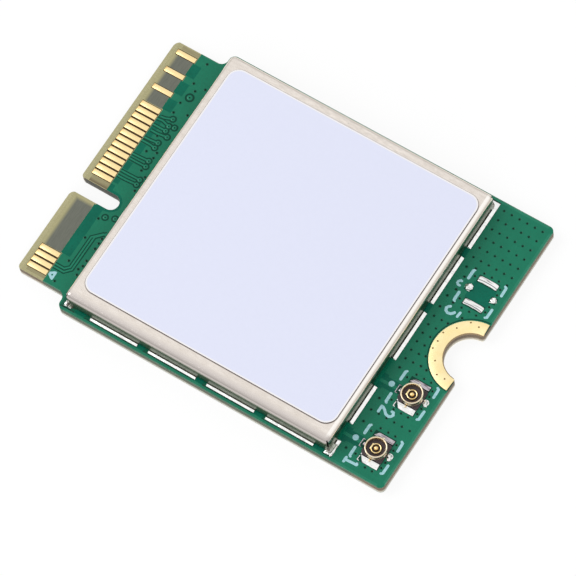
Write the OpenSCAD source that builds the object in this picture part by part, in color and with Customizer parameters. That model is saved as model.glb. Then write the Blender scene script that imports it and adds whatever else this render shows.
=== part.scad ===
// Plug-in wireless card: a green circuit board with an edge plug at one end, a half-round
// screw notch at the other, a folded metal shield over the radio and two antenna sockets.
// X runs from the edge plug to the screw notch, Y across the card, Z up from its underside.

/* [Board] */
// Length of the board from the plug edge to the notch edge
board_len = 30; // [28:0.5:42]
// Width of the board
board_w = 22; // [22:0.5:26]
// Thickness of the finished board
board_t = 0.8; // [0.6:0.05:1.2]
// Thickness of the green lacquer and of the bare metal lands in its openings
film_t = 0.03; // [0.02:0.005:0.05]
// Corner radius at the notch end
end_r = 0.4; // [0.2:0.05:1]

/* [Edge plug] */
// Width of the tongue that enters the slot
tongue_w = 19.85; // [19.5:0.05:20.2]
// Length of the tongue, from the plug edge to the shoulders
tongue_len = 4; // [3.5:0.1:4.4]
// Corner radius of the tongue
tongue_r = 0.4; // [0.2:0.05:0.8]
// Radius of the shoulders' outer corners
shoulder_r = 0.45; // [0.2:0.05:0.8]
// Radius of the fillet between tongue and shoulder
shoulder_fillet = 0.5; // [0.2:0.05:0.5]
// Length of the bevel on the plug edge
bevel_len = 0.4; // [0.2:0.05:0.5]
// Thickness that the bevel leaves at the very edge
bevel_edge = 0.3; // [0.1:0.05:0.4]
// Width of the key notch
key_w = 1.2; // [1:0.05:1.3]
// Depth of the key notch from the plug edge
key_depth = 3.5; // [3:0.1:4]
// Position of the key notch, counted in contact numbers
key_pin = 27.5; // [27.5:0.25:28.5]
// Radius of the key notch's mouth corners
key_mouth_r = 0.35; // [0.1:0.05:0.5]

/* [Contacts] */
// Pitch of the contacts on one side
pin_pitch = 0.5; // [0.5:0.005:0.52]
// Width of a contact
pin_w = 0.37; // [0.3:0.01:0.4]
// Length of a contact
pin_len = 1.54; // [1.2:0.02:1.58]
// Distance from the plug edge to the contacts
pin_inset = 0.54; // [0.5:0.02:0.8]
// Width of the bare strip at the plug edge that has no lacquer
bare_len = 2.14; // [2.1:0.02:2.6]

/* [Screw notch] */
// Radius of the half-round notch
notch_r = 1.75; // [1.5:0.05:2]
// Radius of the half-round notch's mouth corners
notch_mouth_r = 0.25; // [0.1:0.05:0.4]
// Outer radius of the gold land around the notch
notch_land_r = 2.75; // [2.5:0.05:3]
// Bare margin between the gold land and the board's straight edge
notch_margin = 0.06; // [0.04:0.01:0.1]

/* [Shield] */
// Length of the shield
can_len = 21.1; // [20:0.1:21.3]
// Width of the shield
can_w = 21; // [20:0.1:21.2]
// Distance from the shoulder line to the shield
can_plug_gap = 0.45; // [0.4:0.01:0.6]
// Height of the shield above the board
can_h = 1.5; // [1.4:0.05:2]
// Sheet thickness of the shield
can_t = 0.2; // [0.15:0.01:0.25]
// Outer radius of the folds around the top
can_fold_r = 0.35; // [0.25:0.01:0.45]
// Outer radius of the upright corners
can_corner_r = 0.3; // [0.25:0.01:0.45]
// Width of the open slit in each upright corner
slit_w = 0.12; // [0.05:0.01:0.2]
// Height of metal left closed above the slits
slit_top = 0.25; // [0.2:0.01:0.3]
// Height of the low gaps between the shield's feet
gap_h = 0.16; // [0.1:0.01:0.3]
// Width of the gaps between the feet
gap_w = 0.78; // [0.6:0.02:1]
// Number of gaps in each long wall
gap_count = 5; // [3:1:6]
// Distance from the shield's plug end to the middle of its first gap
gap_first = 1.22; // [1:0.02:1.6]
// Distance from the shield's notch end to the middle of its last gap
gap_last = 0.8; // [0.8:0.02:1.2]
// Number of gaps in the plug end wall
side_gap_count = 4; // [3:1:5]
// Distance from the last contacts' side to the middle of an end wall's first gap
side_gap_first = 4.05; // [3.6:0.05:4.4]
// Distance from the first contacts' side to the middle of the last gap at the plug end
side_gap_last = 2.76; // [2.2:0.02:3.2]
// Height of the two doorways that the antenna lines leave by
door_h = 0.5; // [0.4:0.05:0.7]
// Width of each doorway
door_w = 1.4; // [1.2:0.05:1.8]
// Extra width of the doorway of antenna 2, on the screw notch's side
door_extra = 0.9; // [0:0.05:1]
// Reach of the solder lands outside the shield's walls
land_out = 0.3; // [0.24:0.01:0.34]
// Reach of the solder lands inside the shield's walls
land_in = 0.15; // [0.1:0.01:0.3]
// Width of the solder fillet along the shield's feet
solder_w = 0.22; // [0.1:0.01:0.24]
// Height of the solder fillet along the shield's feet
solder_h = 0.16; // [0.08:0.01:0.25]
// Height to which solder fills the corner slits
corner_solder_h = 0.45; // [0.3:0.01:0.6]

/* [Label] */
// Length of the blank label
label_len = 20; // [16:0.1:20.2]
// Width of the blank label
label_w = 19.2; // [16:0.1:19.8]
// Thickness of the label
label_t = 0.1; // [0.05:0.01:0.2]
// Corner radius of the label
label_r = 0.9; // [0.3:0.1:2]

/* [Antenna sockets] */
// Distance from the notch edge to the middle of the sockets
socket_inset = 1.82; // [1.7:0.01:1.9]
// Distance between the middles of the two sockets
socket_pitch = 4.5; // [3.6:0.1:4.6]
// Distance from the board's edge to the middle of socket 1
socket_edge = 2.28; // [2.1:0.01:2.4]
// Distance from the board's middle line to the unused third place
spare_y = 4.36; // [4.3:0.01:6]
// Outer radius of a socket's ring
ring_r = 0.75; // [0.7:0.01:0.78]
// Wall of the ring
ring_t = 0.1; // [0.06:0.01:0.12]
// Height of a socket above the board
socket_h = 0.62; // [0.5:0.01:0.8]
// Length of the dark base of a socket
base_len = 1.7; // [1.6:0.01:1.74]
// Width of the dark base, between the ground tabs
base_w = 1.42; // [1.36:0.01:1.46]
// Height of the dark base
base_h = 0.24; // [0.2:0.01:0.3]
// Thickness of a socket's ground tabs
tab_t = 0.14; // [0.1:0.01:0.18]
// Radius of the middle contact
contact_r = 0.2; // [0.15:0.01:0.25]
// Height of the middle contact above the board
contact_h = 0.5; // [0.4:0.01:0.55]
// Length of each ground land
ground_land_len = 1.55; // [1.4:0.01:1.6]
// Width of each ground land
ground_land_w = 0.5; // [0.45:0.01:0.55]

/* [Print] */
// Thickness of the white print on the lacquer
ink_t = 0.015; // [0.01:0.005:0.03]
// Width of the printed lines
ink_w = 0.22; // [0.15:0.01:0.3]
// Diameter of the through-plated holes' dimples
via_d = 0.22; // [0.15:0.01:0.3]

/* [Radio parts] */
// Side of the main radio chip
radio_side = 9; // [7:0.1:9.6]
// Height of the main radio chip
radio_h = 0.85; // [0.6:0.01:1]
// Side of the power chip
power_side = 3; // [2.5:0.1:3.4]
// Length of the memory chip
memory_len = 3; // [2.5:0.1:3.4]
// Width of the memory chip
memory_w = 2; // [1.5:0.1:2.4]
// Side of an antenna amplifier
amp_side = 2.6; // [2:0.1:3]
// Height of the small chips
small_chip_h = 0.6; // [0.4:0.01:0.8]
// Thickness of the leads under a chip
lead_t = 0.05; // [0.03:0.01:0.08]
// Length of a small capacitor or resistor
chip_len = 1; // [0.8:0.05:1.1]
// Width of a small capacitor or resistor
chip_w = 0.5; // [0.4:0.05:0.55]
// Height of a small resistor
resistor_h = 0.32; // [0.25:0.01:0.4]
// Side of a power coil
coil_side = 2; // [1.6:0.1:2.2]
// Height of a power coil
coil_h = 1; // [0.6:0.05:1.1]
// Length of the crystal
crystal_len = 2.5; // [2:0.1:2.8]
// Width of the crystal
crystal_w = 2; // [1.6:0.1:2.2]

/* [Hidden] */
$fn = 48;

eps = 0.01;
plug_x = -board_len / 2;
notch_x = board_len / 2;
shoulder_x = plug_x + tongue_len;
lacquer_x = plug_x + bare_len;
core_top = board_t - film_t;
can_top = board_t + can_h;
ceiling = can_top - can_t;
half_len = can_len / 2;
half_w = can_w / 2;
can_x = shoulder_x + can_plug_gap + half_len;
socket_x = notch_x - socket_inset;
socket_1_y = -board_w / 2 + socket_edge;
socket_2_y = socket_1_y + socket_pitch;
key_y = pin_y(key_pin);

top_pins = [1, 3, 5, 7, for (n = [33 : 2 : 57]) n, 63, 69, 75];
bottom_pins = [for (n = [2 : 2 : 22]) n, for (n = [32 : 2 : 74]) n];
// Contact 38 would sit on the middle line, and odd and even numbers share the pitch
function pin_y(n) = (n - 38) * pin_pitch / 2;

// Gaps in the shield's walls: middle and width, along the wall
gap_step = (can_len - gap_first - gap_last) / (gap_count - 1);
long_gaps = [for (i = [0 : gap_count - 1]) [-half_len + gap_first + i * gap_step, gap_w]];
side_gap_step = (can_w - side_gap_first - side_gap_last) / (side_gap_count - 1);
plug_side_gaps = [for (i = [0 : side_gap_count - 1])
    [half_w - side_gap_first - i * side_gap_step, gap_w]];
plain_gaps = [plug_side_gaps[0], plug_side_gaps[1]];
door_gaps = [[socket_1_y, door_w], [socket_2_y + door_extra / 2, door_w + door_extra]];

// Plain solids that several pieces share
module slab(x0, y0, z0, x1, y1, z1) {
    translate([x0, y0, z0]) cube([x1 - x0, y1 - y0, z1 - z0]);
}

module block(x, y, z, len, width, height) {
    translate([x - len / 2, y - width / 2, z]) cube([len, width, height]);
}

module round_rect(len, width, r) {
    square([len - 2 * r, width], center = true);
    square([len, width - 2 * r], center = true);
    for (sx = [-1, 1], sy = [-1, 1])
        translate([sx * (len / 2 - r), sy * (width / 2 - r)]) circle(r);
}

// What a round corner leaves over: a square of side r with a quarter circle taken off
module corner_waste(r) {
    difference() {
        square([r + eps, r + eps]);
        circle(r);
    }
}

module key_notch() {
    slot_r = key_w / 2;
    translate([plug_x - eps, key_y - slot_r]) square([key_depth - slot_r + eps, key_w]);
    translate([plug_x + key_depth - slot_r, key_y]) circle(slot_r);
    for (side = [-1, 1])
        translate([plug_x + key_mouth_r, key_y + side * (slot_r + key_mouth_r)])
            mirror([1, 0]) mirror([0, side > 0 ? 1 : 0]) corner_waste(key_mouth_r);
}

// The half-round notch and its two rounded mouth corners
module screw_notch() {
    mouth_y = sqrt(pow(notch_r + notch_mouth_r, 2) - pow(notch_mouth_r, 2));
    translate([notch_x, 0]) {
        circle(notch_r);
        for (side = [-1, 1]) difference() {
            polygon([[eps, 0], [eps, side * mouth_y], [0, side * mouth_y],
                     [-notch_mouth_r, side * mouth_y], [0, 0]]);
            translate([-notch_mouth_r, side * mouth_y]) circle(notch_mouth_r);
        }
    }
}

module board_outline() {
    difference() {
        union() {
            translate([plug_x, -tongue_w / 2]) square([tongue_len + eps, tongue_w]);
            translate([shoulder_x, -board_w / 2]) square([board_len - tongue_len, board_w]);
            for (side = [-1, 1])
                translate([shoulder_x, side * tongue_w / 2]) mirror([1, 0])
                    mirror([0, side > 0 ? 0 : 1]) difference() {
                        translate([-eps, -eps]) square(shoulder_fillet + eps);
                        translate([shoulder_fillet, shoulder_fillet]) circle(shoulder_fillet);
                    }
        }
        for (side = [0, 1]) mirror([0, side]) {
            translate([plug_x + tongue_r, tongue_w / 2 - tongue_r])
                mirror([1, 0]) corner_waste(tongue_r);
            translate([shoulder_x + shoulder_r, board_w / 2 - shoulder_r])
                mirror([1, 0]) corner_waste(shoulder_r);
            translate([notch_x - end_r, board_w / 2 - end_r]) corner_waste(end_r);
        }
        key_notch();
        screw_notch();
    }
}

module notch_land_2d() {
    intersection() {
        difference() {
            translate([notch_x, 0]) circle(notch_land_r);
            screw_notch();
        }
        translate([notch_x - notch_margin - 2 * notch_land_r, -notch_land_r])
            square(2 * notch_land_r);
    }
}

module shield_gap_strips() {
    strip = 2 * (land_out + can_t + land_in);
    for (side = [-1, 1], gap = long_gaps)
        translate([gap[0], side * half_w]) square([gap[1], strip], center = true);
    for (gap = concat(plain_gaps, door_gaps))
        translate([half_len, gap[0]]) square([strip, gap[1]], center = true);
    for (gap = plug_side_gaps)
        translate([-half_len, gap[0]]) square([strip, gap[1]], center = true);
}

module shield_lands_2d() {
    inner = 2 * (can_t + land_in);
    translate([can_x, 0]) difference() {
        square([can_len + 2 * land_out, can_w + 2 * land_out], center = true);
        square([can_len - inner, can_w - inner], center = true);
        shield_gap_strips();
    }
}

// One antenna place: two long ground lands and two small lands in line with the socket
ground_land_y = base_w / 2 + ground_land_w / 2 - 0.01;
small_land = 0.46;
small_land_x = base_len / 2 + 0.16;
module antenna_lands_2d(y) {
    translate([socket_x, y]) {
        for (side = [-1, 1]) {
            translate([0, side * ground_land_y])
                square([ground_land_len, ground_land_w], center = true);
            translate([side * small_land_x, 0]) circle(small_land / 2);
        }
    }
}

// Dimples of the plated holes: a regular field at the notch end and a fence at each socket
via_step_x = 0.61;
via_step_y = 0.72;
via_cols = 6;
via_x = notch_x - 3.7;
fence = [
    [-0.6, 1.43], [0, 1.43], [0.55, 1.43], [-1.05, 0.95], [0.95, 0.95], [0.98, 0.5],
    [0.98, -0.5], [0.95, -0.96], [-1.07, -0.96], [-0.6, -1.47], [0, -1.47], [0.55, -1.47]
];
module vias_2d() {
    far_rows = 6;
    far_step = 0.79;
    far_y = board_w / 2 - 0.6;
    for (i = [0 : via_cols - 1]) {
        for (j = [0 : far_rows - 1])
            translate([via_x + i * via_step_x, far_y - j * far_step]) circle(via_d / 2);
        translate([via_x + i * via_step_x, (socket_1_y + socket_2_y) / 2]) circle(via_d / 2);
    }
    for (i = [0 : 1], j = [-3 : 2])
        translate([via_x + i * via_step_x, j * via_step_y]) circle(via_d / 2);
    for (y = [socket_1_y, socket_2_y, spare_y], at = fence)
        translate([socket_x + at[0], y + at[1]]) circle(via_d / 2);
}

// The board's own pieces, built up from the underside
module circuit_board() {
    bevel_drop = (board_t - bevel_edge) / 2;
    color("#b7ae78")
        difference() {
            translate([0, 0, film_t]) linear_extrude(core_top - film_t) board_outline();
            for (turned = [0, 1])
                translate([0, 0, turned * board_t]) mirror([0, 0, turned])
                    translate([plug_x, board_w / 2, 0]) rotate([90, 0, 0])
                        linear_extrude(board_w)
                            polygon([[-1, -1], [bevel_len, -1], [bevel_len, 0],
                                     [0, bevel_drop], [-1, bevel_drop]]);
        }
}

module lacquer_area() {
    intersection() {
        board_outline();
        translate([lacquer_x, -board_w / 2]) square([board_len, board_w]);
    }
}

module green_lacquer_top() {
    color("#27795c")
        translate([0, 0, core_top]) linear_extrude(film_t) difference() {
            lacquer_area();
            translate([notch_x, 0]) circle(notch_land_r);
            shield_lands_2d();
            for (y = [socket_1_y, socket_2_y, spare_y]) antenna_lands_2d(y);
            vias_2d();
        }
}

module green_lacquer_bottom() {
    color("#256f55")
        linear_extrude(film_t) difference() {
            lacquer_area();
            translate([notch_x, 0]) circle(notch_land_r);
        }
}

module contact_row(pins) {
    for (n = pins)
        translate([plug_x + pin_inset, pin_y(n) - pin_w / 2]) square([pin_len, pin_w]);
}

module edge_contacts_top() {
    color("#f5dc9a")
        translate([0, 0, core_top]) linear_extrude(film_t) contact_row(top_pins);
}

module edge_contacts_bottom() {
    color("#f5dc9a") linear_extrude(film_t) contact_row(bottom_pins);
}

module screw_notch_land_top() {
    color("#f6dc94")
        translate([0, 0, core_top]) linear_extrude(film_t) notch_land_2d();
}

module screw_notch_land_bottom() {
    color("#f6dc94") linear_extrude(film_t) notch_land_2d();
}

module shield_lands() {
    color("#d9d9d4")
        translate([0, 0, core_top]) linear_extrude(film_t) shield_lands_2d();
}

module antenna_lands() {
    color("#d9d9d4")
        translate([0, 0, core_top]) linear_extrude(film_t)
            for (y = [socket_1_y, socket_2_y, spare_y]) antenna_lands_2d(y);
}

// White print: four corner strokes, a dot and a number at each antenna place, and an arrow
// head at contact 1. A number reads with its top towards the screw notch.
stroke_len = 0.88;
stroke_in = 1.33;
stroke_out = 1.22;
stroke_y = 0.59;
dot_d = 0.45;
dot_in = 0.34;
number_h = 0.95;
number_w = 0.42;
number_x = -0.92;
number_y = 1.9;
number_1_y = 1.66;

module line_2d(x0, y0, x1, y1) {
    run = norm([x1 - x0, y1 - y0]);
    translate([x0, y0]) rotate(atan2(y1 - y0, x1 - x0)) {
        translate([0, -ink_w / 2]) square([run, ink_w]);
        circle(ink_w / 2);
        translate([run, 0]) circle(ink_w / 2);
    }
}

module arc_2d(r, start, sweep) {
    rotate(start) intersection() {
        difference() {
            circle(r + ink_w / 2);
            circle(r - ink_w / 2);
        }
        reach = 2 * r;
        polygon([[0, 0], [reach, 0], [reach * cos(sweep / 2), reach * sin(sweep / 2)],
                 [reach * cos(sweep), reach * sin(sweep)]]);
    }
}

module number_2d(which) {
    low = number_x - number_h / 2;
    high = number_x + number_h / 2;
    bow = number_w / 2;
    if (which == 1) {
        line_2d(low, 0, high, 0);
        line_2d(low, -bow / 2, low, bow / 2);
        line_2d(high, 0, high - 0.2, bow / 2);
    }
    if (which == 2) {
        line_2d(low, -bow, low, bow);
        line_2d(low, bow, high - bow, -bow * 0.9);
        translate([high - bow, 0]) arc_2d(bow, -90, 90);
        translate([high - bow, 0]) arc_2d(bow, 0, 90);
    }
    if (which == 3)
        for (x = [low + bow, high - bow]) translate([x, 0]) {
            arc_2d(bow, -90, 90);
            arc_2d(bow, 0, 90);
            arc_2d(bow, 180, 90);
        }
}

module antenna_print(y, which, below) {
    translate([socket_x, y]) {
        for (side = [-1, 1])
            for (x = [-stroke_in, stroke_out])
                line_2d(x, side * stroke_y, x, side * (stroke_y + stroke_len - ink_w));
        translate([-stroke_in - dot_in, 0]) circle(dot_d / 2);
        translate([0, -below]) number_2d(which);
    }
}

module white_print() {
    arrow = 0.38;
    arrow_x = lacquer_x + 0.14;
    arrow_hole = 0.08;
    color("#cfe6e8")
        translate([0, 0, board_t]) linear_extrude(ink_t) {
            antenna_print(socket_1_y, 1, number_1_y);
            antenna_print(socket_2_y, 2, number_y);
            antenna_print(spare_y, 3, number_y);
            translate([arrow_x, pin_y(1)]) difference() {
                polygon([[0, 0], [arrow, arrow], [arrow, -arrow]]);
                translate([arrow * 2 / 3, 0]) circle(arrow_hole);
            }
        }
}

// The shield: one folded sheet, rounded over the top edges and slit at its upright corners
module box_form(len, width, height, fold_r, corner_r) {
    intersection() {
        linear_extrude(height) round_rect(len, width, corner_r);
        translate([0, width / 2, 0]) rotate([90, 0, 0]) linear_extrude(width)
            fold_profile(len, height, fold_r);
        translate([-len / 2, 0, 0]) rotate([90, 0, 90]) linear_extrude(len)
            fold_profile(width, height, fold_r);
    }
}

module fold_profile(span, height, r) {
    translate([-span / 2, -1]) square([span, height + 1 - r]);
    translate([-span / 2 + r, -1]) square([span - 2 * r, height + 1]);
    for (side = [-1, 1])
        translate([side * (span / 2 - r), height - r]) circle(r);
}

module corner_slits(height) {
    reach = 2 * can_corner_r;
    for (sx = [-1, 1], sy = [-1, 1])
        translate([sx * (half_len - can_corner_r), sy * (half_w - can_corner_r), board_t])
            rotate(atan2(sy, sx)) translate([0, -slit_w / 2, 0]) cube([reach, slit_w, height]);
}

module foot_gaps(height, gaps_x, gaps_y_notch, gaps_y_plug) {
    deep = 2 * (land_out + can_t);
    for (side = [-1, 1], gap = gaps_x)
        block(gap[0], side * half_w, board_t - eps, gap[1], deep, height + eps);
    for (gap = gaps_y_notch)
        block(half_len, gap[0], board_t - eps, deep, gap[1], height + eps);
    for (gap = gaps_y_plug)
        block(-half_len, gap[0], board_t - eps, deep, gap[1], height + eps);
}

module shield_can() {
    color("#d8cec2")
        translate([can_x, 0, 0]) difference() {
            translate([0, 0, board_t])
                box_form(can_len, can_w, can_h, can_fold_r, can_corner_r);
            translate([0, 0, board_t - eps])
                box_form(can_len - 2 * can_t, can_w - 2 * can_t, can_h - can_t + eps,
                         can_fold_r - can_t, can_corner_r - can_t);
            corner_slits(can_h - slit_top);
            foot_gaps(gap_h, long_gaps, plain_gaps, plug_side_gaps);
            foot_gaps(door_h, [], door_gaps, []);
        }
}

// Solder drawn up the outside of the shield's feet, and higher in the corner slits
module fillet_bar(run) {
    rotate([90, 0, 90]) translate([0, 0, -run / 2]) linear_extrude(run)
        polygon([[0, 0], [-solder_w, 0], [0, solder_h]]);
}

module corner_fillet() {
    rotate_extrude()
        polygon([[can_corner_r, 0], [can_corner_r + solder_w, 0],
                 [can_corner_r, corner_solder_h]]);
}

module shield_solder() {
    long_run = can_len - 2 * can_corner_r;
    side_run = can_w - 2 * can_corner_r;
    color("#ececea") translate([can_x, 0, 0]) {
        difference() {
            translate([0, 0, board_t]) {
                for (turned = [0, 180]) {
                    rotate(turned) translate([0, -half_w, 0]) fillet_bar(long_run);
                    rotate(turned + 90) translate([0, -half_len, 0]) fillet_bar(side_run);
                }
                for (sx = [-1, 1], sy = [-1, 1])
                    translate([sx * (half_len - can_corner_r), sy * (half_w - can_corner_r), 0])
                        intersection() {
                            corner_fillet();
                            mirror([sx < 0 ? 1 : 0, 0]) mirror([0, sy < 0 ? 1 : 0])
                                cube(2 * can_corner_r + corner_solder_h);
                        }
            }
            foot_gaps(can_h, long_gaps, concat(plain_gaps, door_gaps), plug_side_gaps);
        }
        intersection() {
            corner_slits(corner_solder_h);
            difference() {
                translate([0, 0, board_t])
                    linear_extrude(can_h) round_rect(can_len, can_w, can_corner_r);
                translate([0, 0, board_t - eps]) linear_extrude(can_h)
                    round_rect(can_len - 2 * can_t, can_w - 2 * can_t, can_corner_r - can_t);
            }
        }
    }
}

// The label sits a little off the shield's middle
label_x = 0.12;
label_y = 0.16;
module label() {
    color("#e7eafd")
        translate([can_x + label_x, label_y, can_top]) linear_extrude(label_t)
            round_rect(label_len, label_w, label_r);
}

// An antenna socket: dark base, ring with two ground tabs, and the middle contact. The ring's
// foot flares out into the base, which leaves a narrow moat between its floor and the ring.
tab_len = 1.5;
tab_out = 0.36;
tail_w = 0.28;
tail_t = 0.08;
tail_end = base_len / 2 + 0.2;
ring_seat = 0.1;
ring_flare = 0.05;
moat_w = 0.07;

module socket_base(y) {
    color("#443c40")
        translate([socket_x, y, board_t]) difference() {
            block(0, 0, 0, base_len, base_w, base_h);
            rotate_extrude()
                polygon([[ring_r - ring_t - moat_w, ring_seat], [ring_r + ring_flare, ring_seat],
                         [ring_r, base_h], [ring_r, base_h + eps],
                         [ring_r - ring_t - moat_w, base_h + eps]]);
            translate([0, 0, -eps]) cylinder(h = base_h + 2 * eps, r = contact_r);
            slab(-base_len, -tail_w / 2, -eps, 0, tail_w / 2, tail_t);
        }
}

module socket_shell(y) {
    color("#dcc193")
        translate([socket_x, y, board_t]) {
            rotate_extrude()
                polygon([[ring_r - ring_t, ring_seat], [ring_r + ring_flare, ring_seat],
                         [ring_r, base_h], [ring_r, socket_h], [ring_r - ring_t, socket_h]]);
            for (side = [0, 1]) mirror([0, side])
                slab(-tab_len / 2, base_w / 2, 0, tab_len / 2, base_w / 2 + tab_out, tab_t);
        }
}

module socket_contact(y) {
    dome = contact_r * 0.8;
    color("#e8c46c")
        translate([socket_x, y, board_t]) {
            cylinder(h = contact_h - dome, r = contact_r);
            translate([0, 0, contact_h - dome])
                cylinder(h = dome, r1 = contact_r, r2 = contact_r - dome * 0.6);
            slab(-tail_end, -tail_w / 2, 0, 0, tail_w / 2, tail_t);
        }
}

module socket_solder() {
    bead = 0.12;
    side_y = base_w / 2 + tab_out;
    small_reach = small_land_x + small_land / 2;
    color("#ececea")
        for (y = [socket_1_y, socket_2_y]) translate([socket_x, y, board_t]) {
            for (side = [0, 1]) mirror([0, side])
                translate([-tab_len / 2, side_y, 0]) rotate([90, 0, 90]) linear_extrude(tab_len)
                    polygon([[0, 0], [bead, 0], [0, bead]]);
            slab(base_len / 2, -tail_w / 2, 0, small_reach, tail_w / 2, bead);
            slab(-small_reach, -tail_w / 2, 0, -tail_end, tail_w / 2, bead);
        }
}

// Radio parts under the shield, each seated on the board's top face and placed from the
// shield's inner walls; a name that ends in _plug, _notch, _low or _high is a distance from
// that wall
wall_plug = can_x - half_len + can_t;
wall_notch = can_x + half_len - can_t;
wall_low = -half_w + can_t;
wall_high = half_w - can_t;
radio_plug = 3.25;
radio_high = 4.6;
radio_x = wall_plug + radio_plug + radio_side / 2;
radio_y = wall_high - radio_high - radio_side / 2;
power_plug = 0.95;
power_low = 1.2;
power_x = wall_plug + power_plug + power_side / 2;
power_y = wall_low + power_low + power_side / 2;
memory_notch = 3.15;
memory_high = 6.2;
memory_x = wall_notch - memory_notch - memory_w / 2;
memory_y = wall_high - memory_high - memory_len / 2;
crystal_notch = 2.7;
crystal_high = 2.4;
crystal_x = wall_notch - crystal_notch - crystal_len / 2;
crystal_y = wall_high - crystal_high - crystal_w / 2;
crystal_base_h = 0.35;
crystal_lid_h = 0.12;
crystal_rim = 0.3;
amp_notch = 3.45;
amp_low = 0.78;
amp_gap = 1.4;
amp_x = wall_notch - amp_notch - amp_side / 2;
function amp_y(i) = wall_low + amp_low + amp_side / 2 + i * (amp_side + amp_gap);
filter_len = 1.6;
filter_w = 0.8;
filter_notch = 0.95;
filter_low = 1.18;
filter_x = wall_notch - filter_notch - filter_len / 2;
function filter_y(i) = wall_low + filter_low + filter_w / 2 + i * socket_pitch;
coil_gap = 0.6;
coil_end = 0.4;
function coil_x(i) = power_x + power_side / 2 + coil_gap + coil_side / 2
    + i * (coil_side + coil_gap);
lead_step = 0.5;
lead_in = 0.4;
radio_row_in = 1.4;
power_row_in = 1;
memory_leads = 3;
radio_paddle_in = 2.4;
power_paddle_in = 1.4;
memory_paddle_in = 1.2;
heat_pad_in = 2;

module flat_chip(x, y, len, width, height) {
    block(x, y, board_t + lead_t, len, width, height - lead_t);
}

module chip_leads(x, y, len, width, per_side, rows_all_round, paddle_in) {
    lead_w = lead_step / 2;
    first = -(per_side - 1) / 2;
    for (i = [0 : per_side - 1]) {
        at = (first + i) * lead_step;
        for (side = [-1, 1]) {
            block(x + at, y + side * (width - lead_in) / 2, board_t, lead_w, lead_in, lead_t);
            if (rows_all_round)
                block(x + side * (len - lead_in) / 2, y + at, board_t, lead_in, lead_w, lead_t);
        }
    }
    block(x, y, board_t, len - paddle_in, width - paddle_in, lead_t);
}

module radio_chip() {
    color("#2b2c2e") flat_chip(radio_x, radio_y, radio_side, radio_side, radio_h);
}

module radio_chip_leads() {
    count = floor((radio_side - radio_row_in) / lead_step);
    color("#c9c6bd")
        chip_leads(radio_x, radio_y, radio_side, radio_side, count, true, radio_paddle_in);
}

module heat_pad() {
    pad_side = radio_side - heat_pad_in;
    pad_z = board_t + radio_h;
    color("#9fb4c4") block(radio_x, radio_y, pad_z, pad_side, pad_side, ceiling - pad_z);
}

module power_chip() {
    color("#303133") flat_chip(power_x, power_y, power_side, power_side, small_chip_h);
}

module power_chip_leads() {
    count = floor((power_side - power_row_in) / lead_step);
    color("#c9c6bd")
        chip_leads(power_x, power_y, power_side, power_side, count, true, power_paddle_in);
}

module memory_chip() {
    color("#303133") flat_chip(memory_x, memory_y, memory_w, memory_len, small_chip_h);
}

module memory_chip_leads() {
    color("#c9c6bd")
        chip_leads(memory_x, memory_y, memory_w, memory_len, memory_leads, false,
                   memory_paddle_in);
}

module antenna_amplifiers() {
    color("#26282b")
        for (i = [0, 1])
            block(amp_x, amp_y(i), board_t, amp_side, amp_side, small_chip_h);
}

module antenna_filters() {
    color("#d7d2c0")
        for (i = [0, 1])
            block(filter_x, filter_y(i), board_t, filter_len, filter_w, small_chip_h);
}

module crystal_base() {
    color("#8a8378")
        block(crystal_x, crystal_y, board_t, crystal_len, crystal_w, crystal_base_h);
}

module crystal_lid() {
    color("#c9ccd0")
        block(crystal_x, crystal_y, board_t + crystal_base_h,
              crystal_len - crystal_rim, crystal_w - crystal_rim, crystal_lid_h);
}

module coil_cores() {
    color("#54565a")
        for (i = [0, 1])
            block(coil_x(i), power_y, board_t, coil_side - 2 * coil_end, coil_side, coil_h);
}

module coil_ends() {
    color("#c9c6bd")
        for (i = [0, 1], side = [-1, 1])
            block(coil_x(i) + side * (coil_side - coil_end) / 2, power_y,
                  board_t, coil_end, coil_side, coil_h);
}

// Small two-ended chips stand in rows; each row gives start, count, step and direction
chip_end = 0.25;
row_step = 1.6;
column_step = 1.15;
column_x = wall_plug + 1.15;
beside_x = radio_x + radio_side / 2 + 1.2;
past_coils_x = coil_x(1) + coil_side / 2 + 1.2;
cap_rows = [
    [wall_plug + 1.25, wall_high - 1.2, 8, row_step, 0],
    [wall_plug + 1.25, wall_high - 2.4, 8, row_step, 0],
    [column_x, wall_high - 5.4, 6, column_step, 90],
    [beside_x, radio_y - 3.2, 6, column_step, 90],
    [past_coils_x, power_y - 1, 3, row_step, 0]
];
resistor_rows = [
    [column_x, wall_low + 8.5, 4, column_step, 90],
    [wall_plug + 1.95, wall_low + 5.1, 7, row_step, 0],
    [past_coils_x, power_y + 0.4, 3, row_step, 0]
];

module chips_in_rows(rows, height, ends) {
    for (row = rows, i = [0 : row[2] - 1]) {
        along = row[4] == 0 ? [i * row[3], 0] : [0, (i - row[2] / 2) * row[3]];
        translate([row[0] + along[0], row[1] + along[1], board_t])
            if (ends)
                for (side = [-1, 1])
                    block(side * (chip_len - chip_end) / 2, 0, 0, chip_end, chip_w, height);
            else
                block(0, 0, 0, chip_len - 2 * chip_end, chip_w, height);
    }
}

module capacitor_bodies() {
    color("#a58a6b") chips_in_rows(cap_rows, chip_w, false);
}

module capacitor_ends() {
    color("#cfccc4") chips_in_rows(cap_rows, chip_w, true);
}

module resistor_bodies() {
    color("#2c2d30") chips_in_rows(resistor_rows, resistor_h, false);
}

module resistor_ends() {
    color("#cfccc4") chips_in_rows(resistor_rows, resistor_h, true);
}

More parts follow.
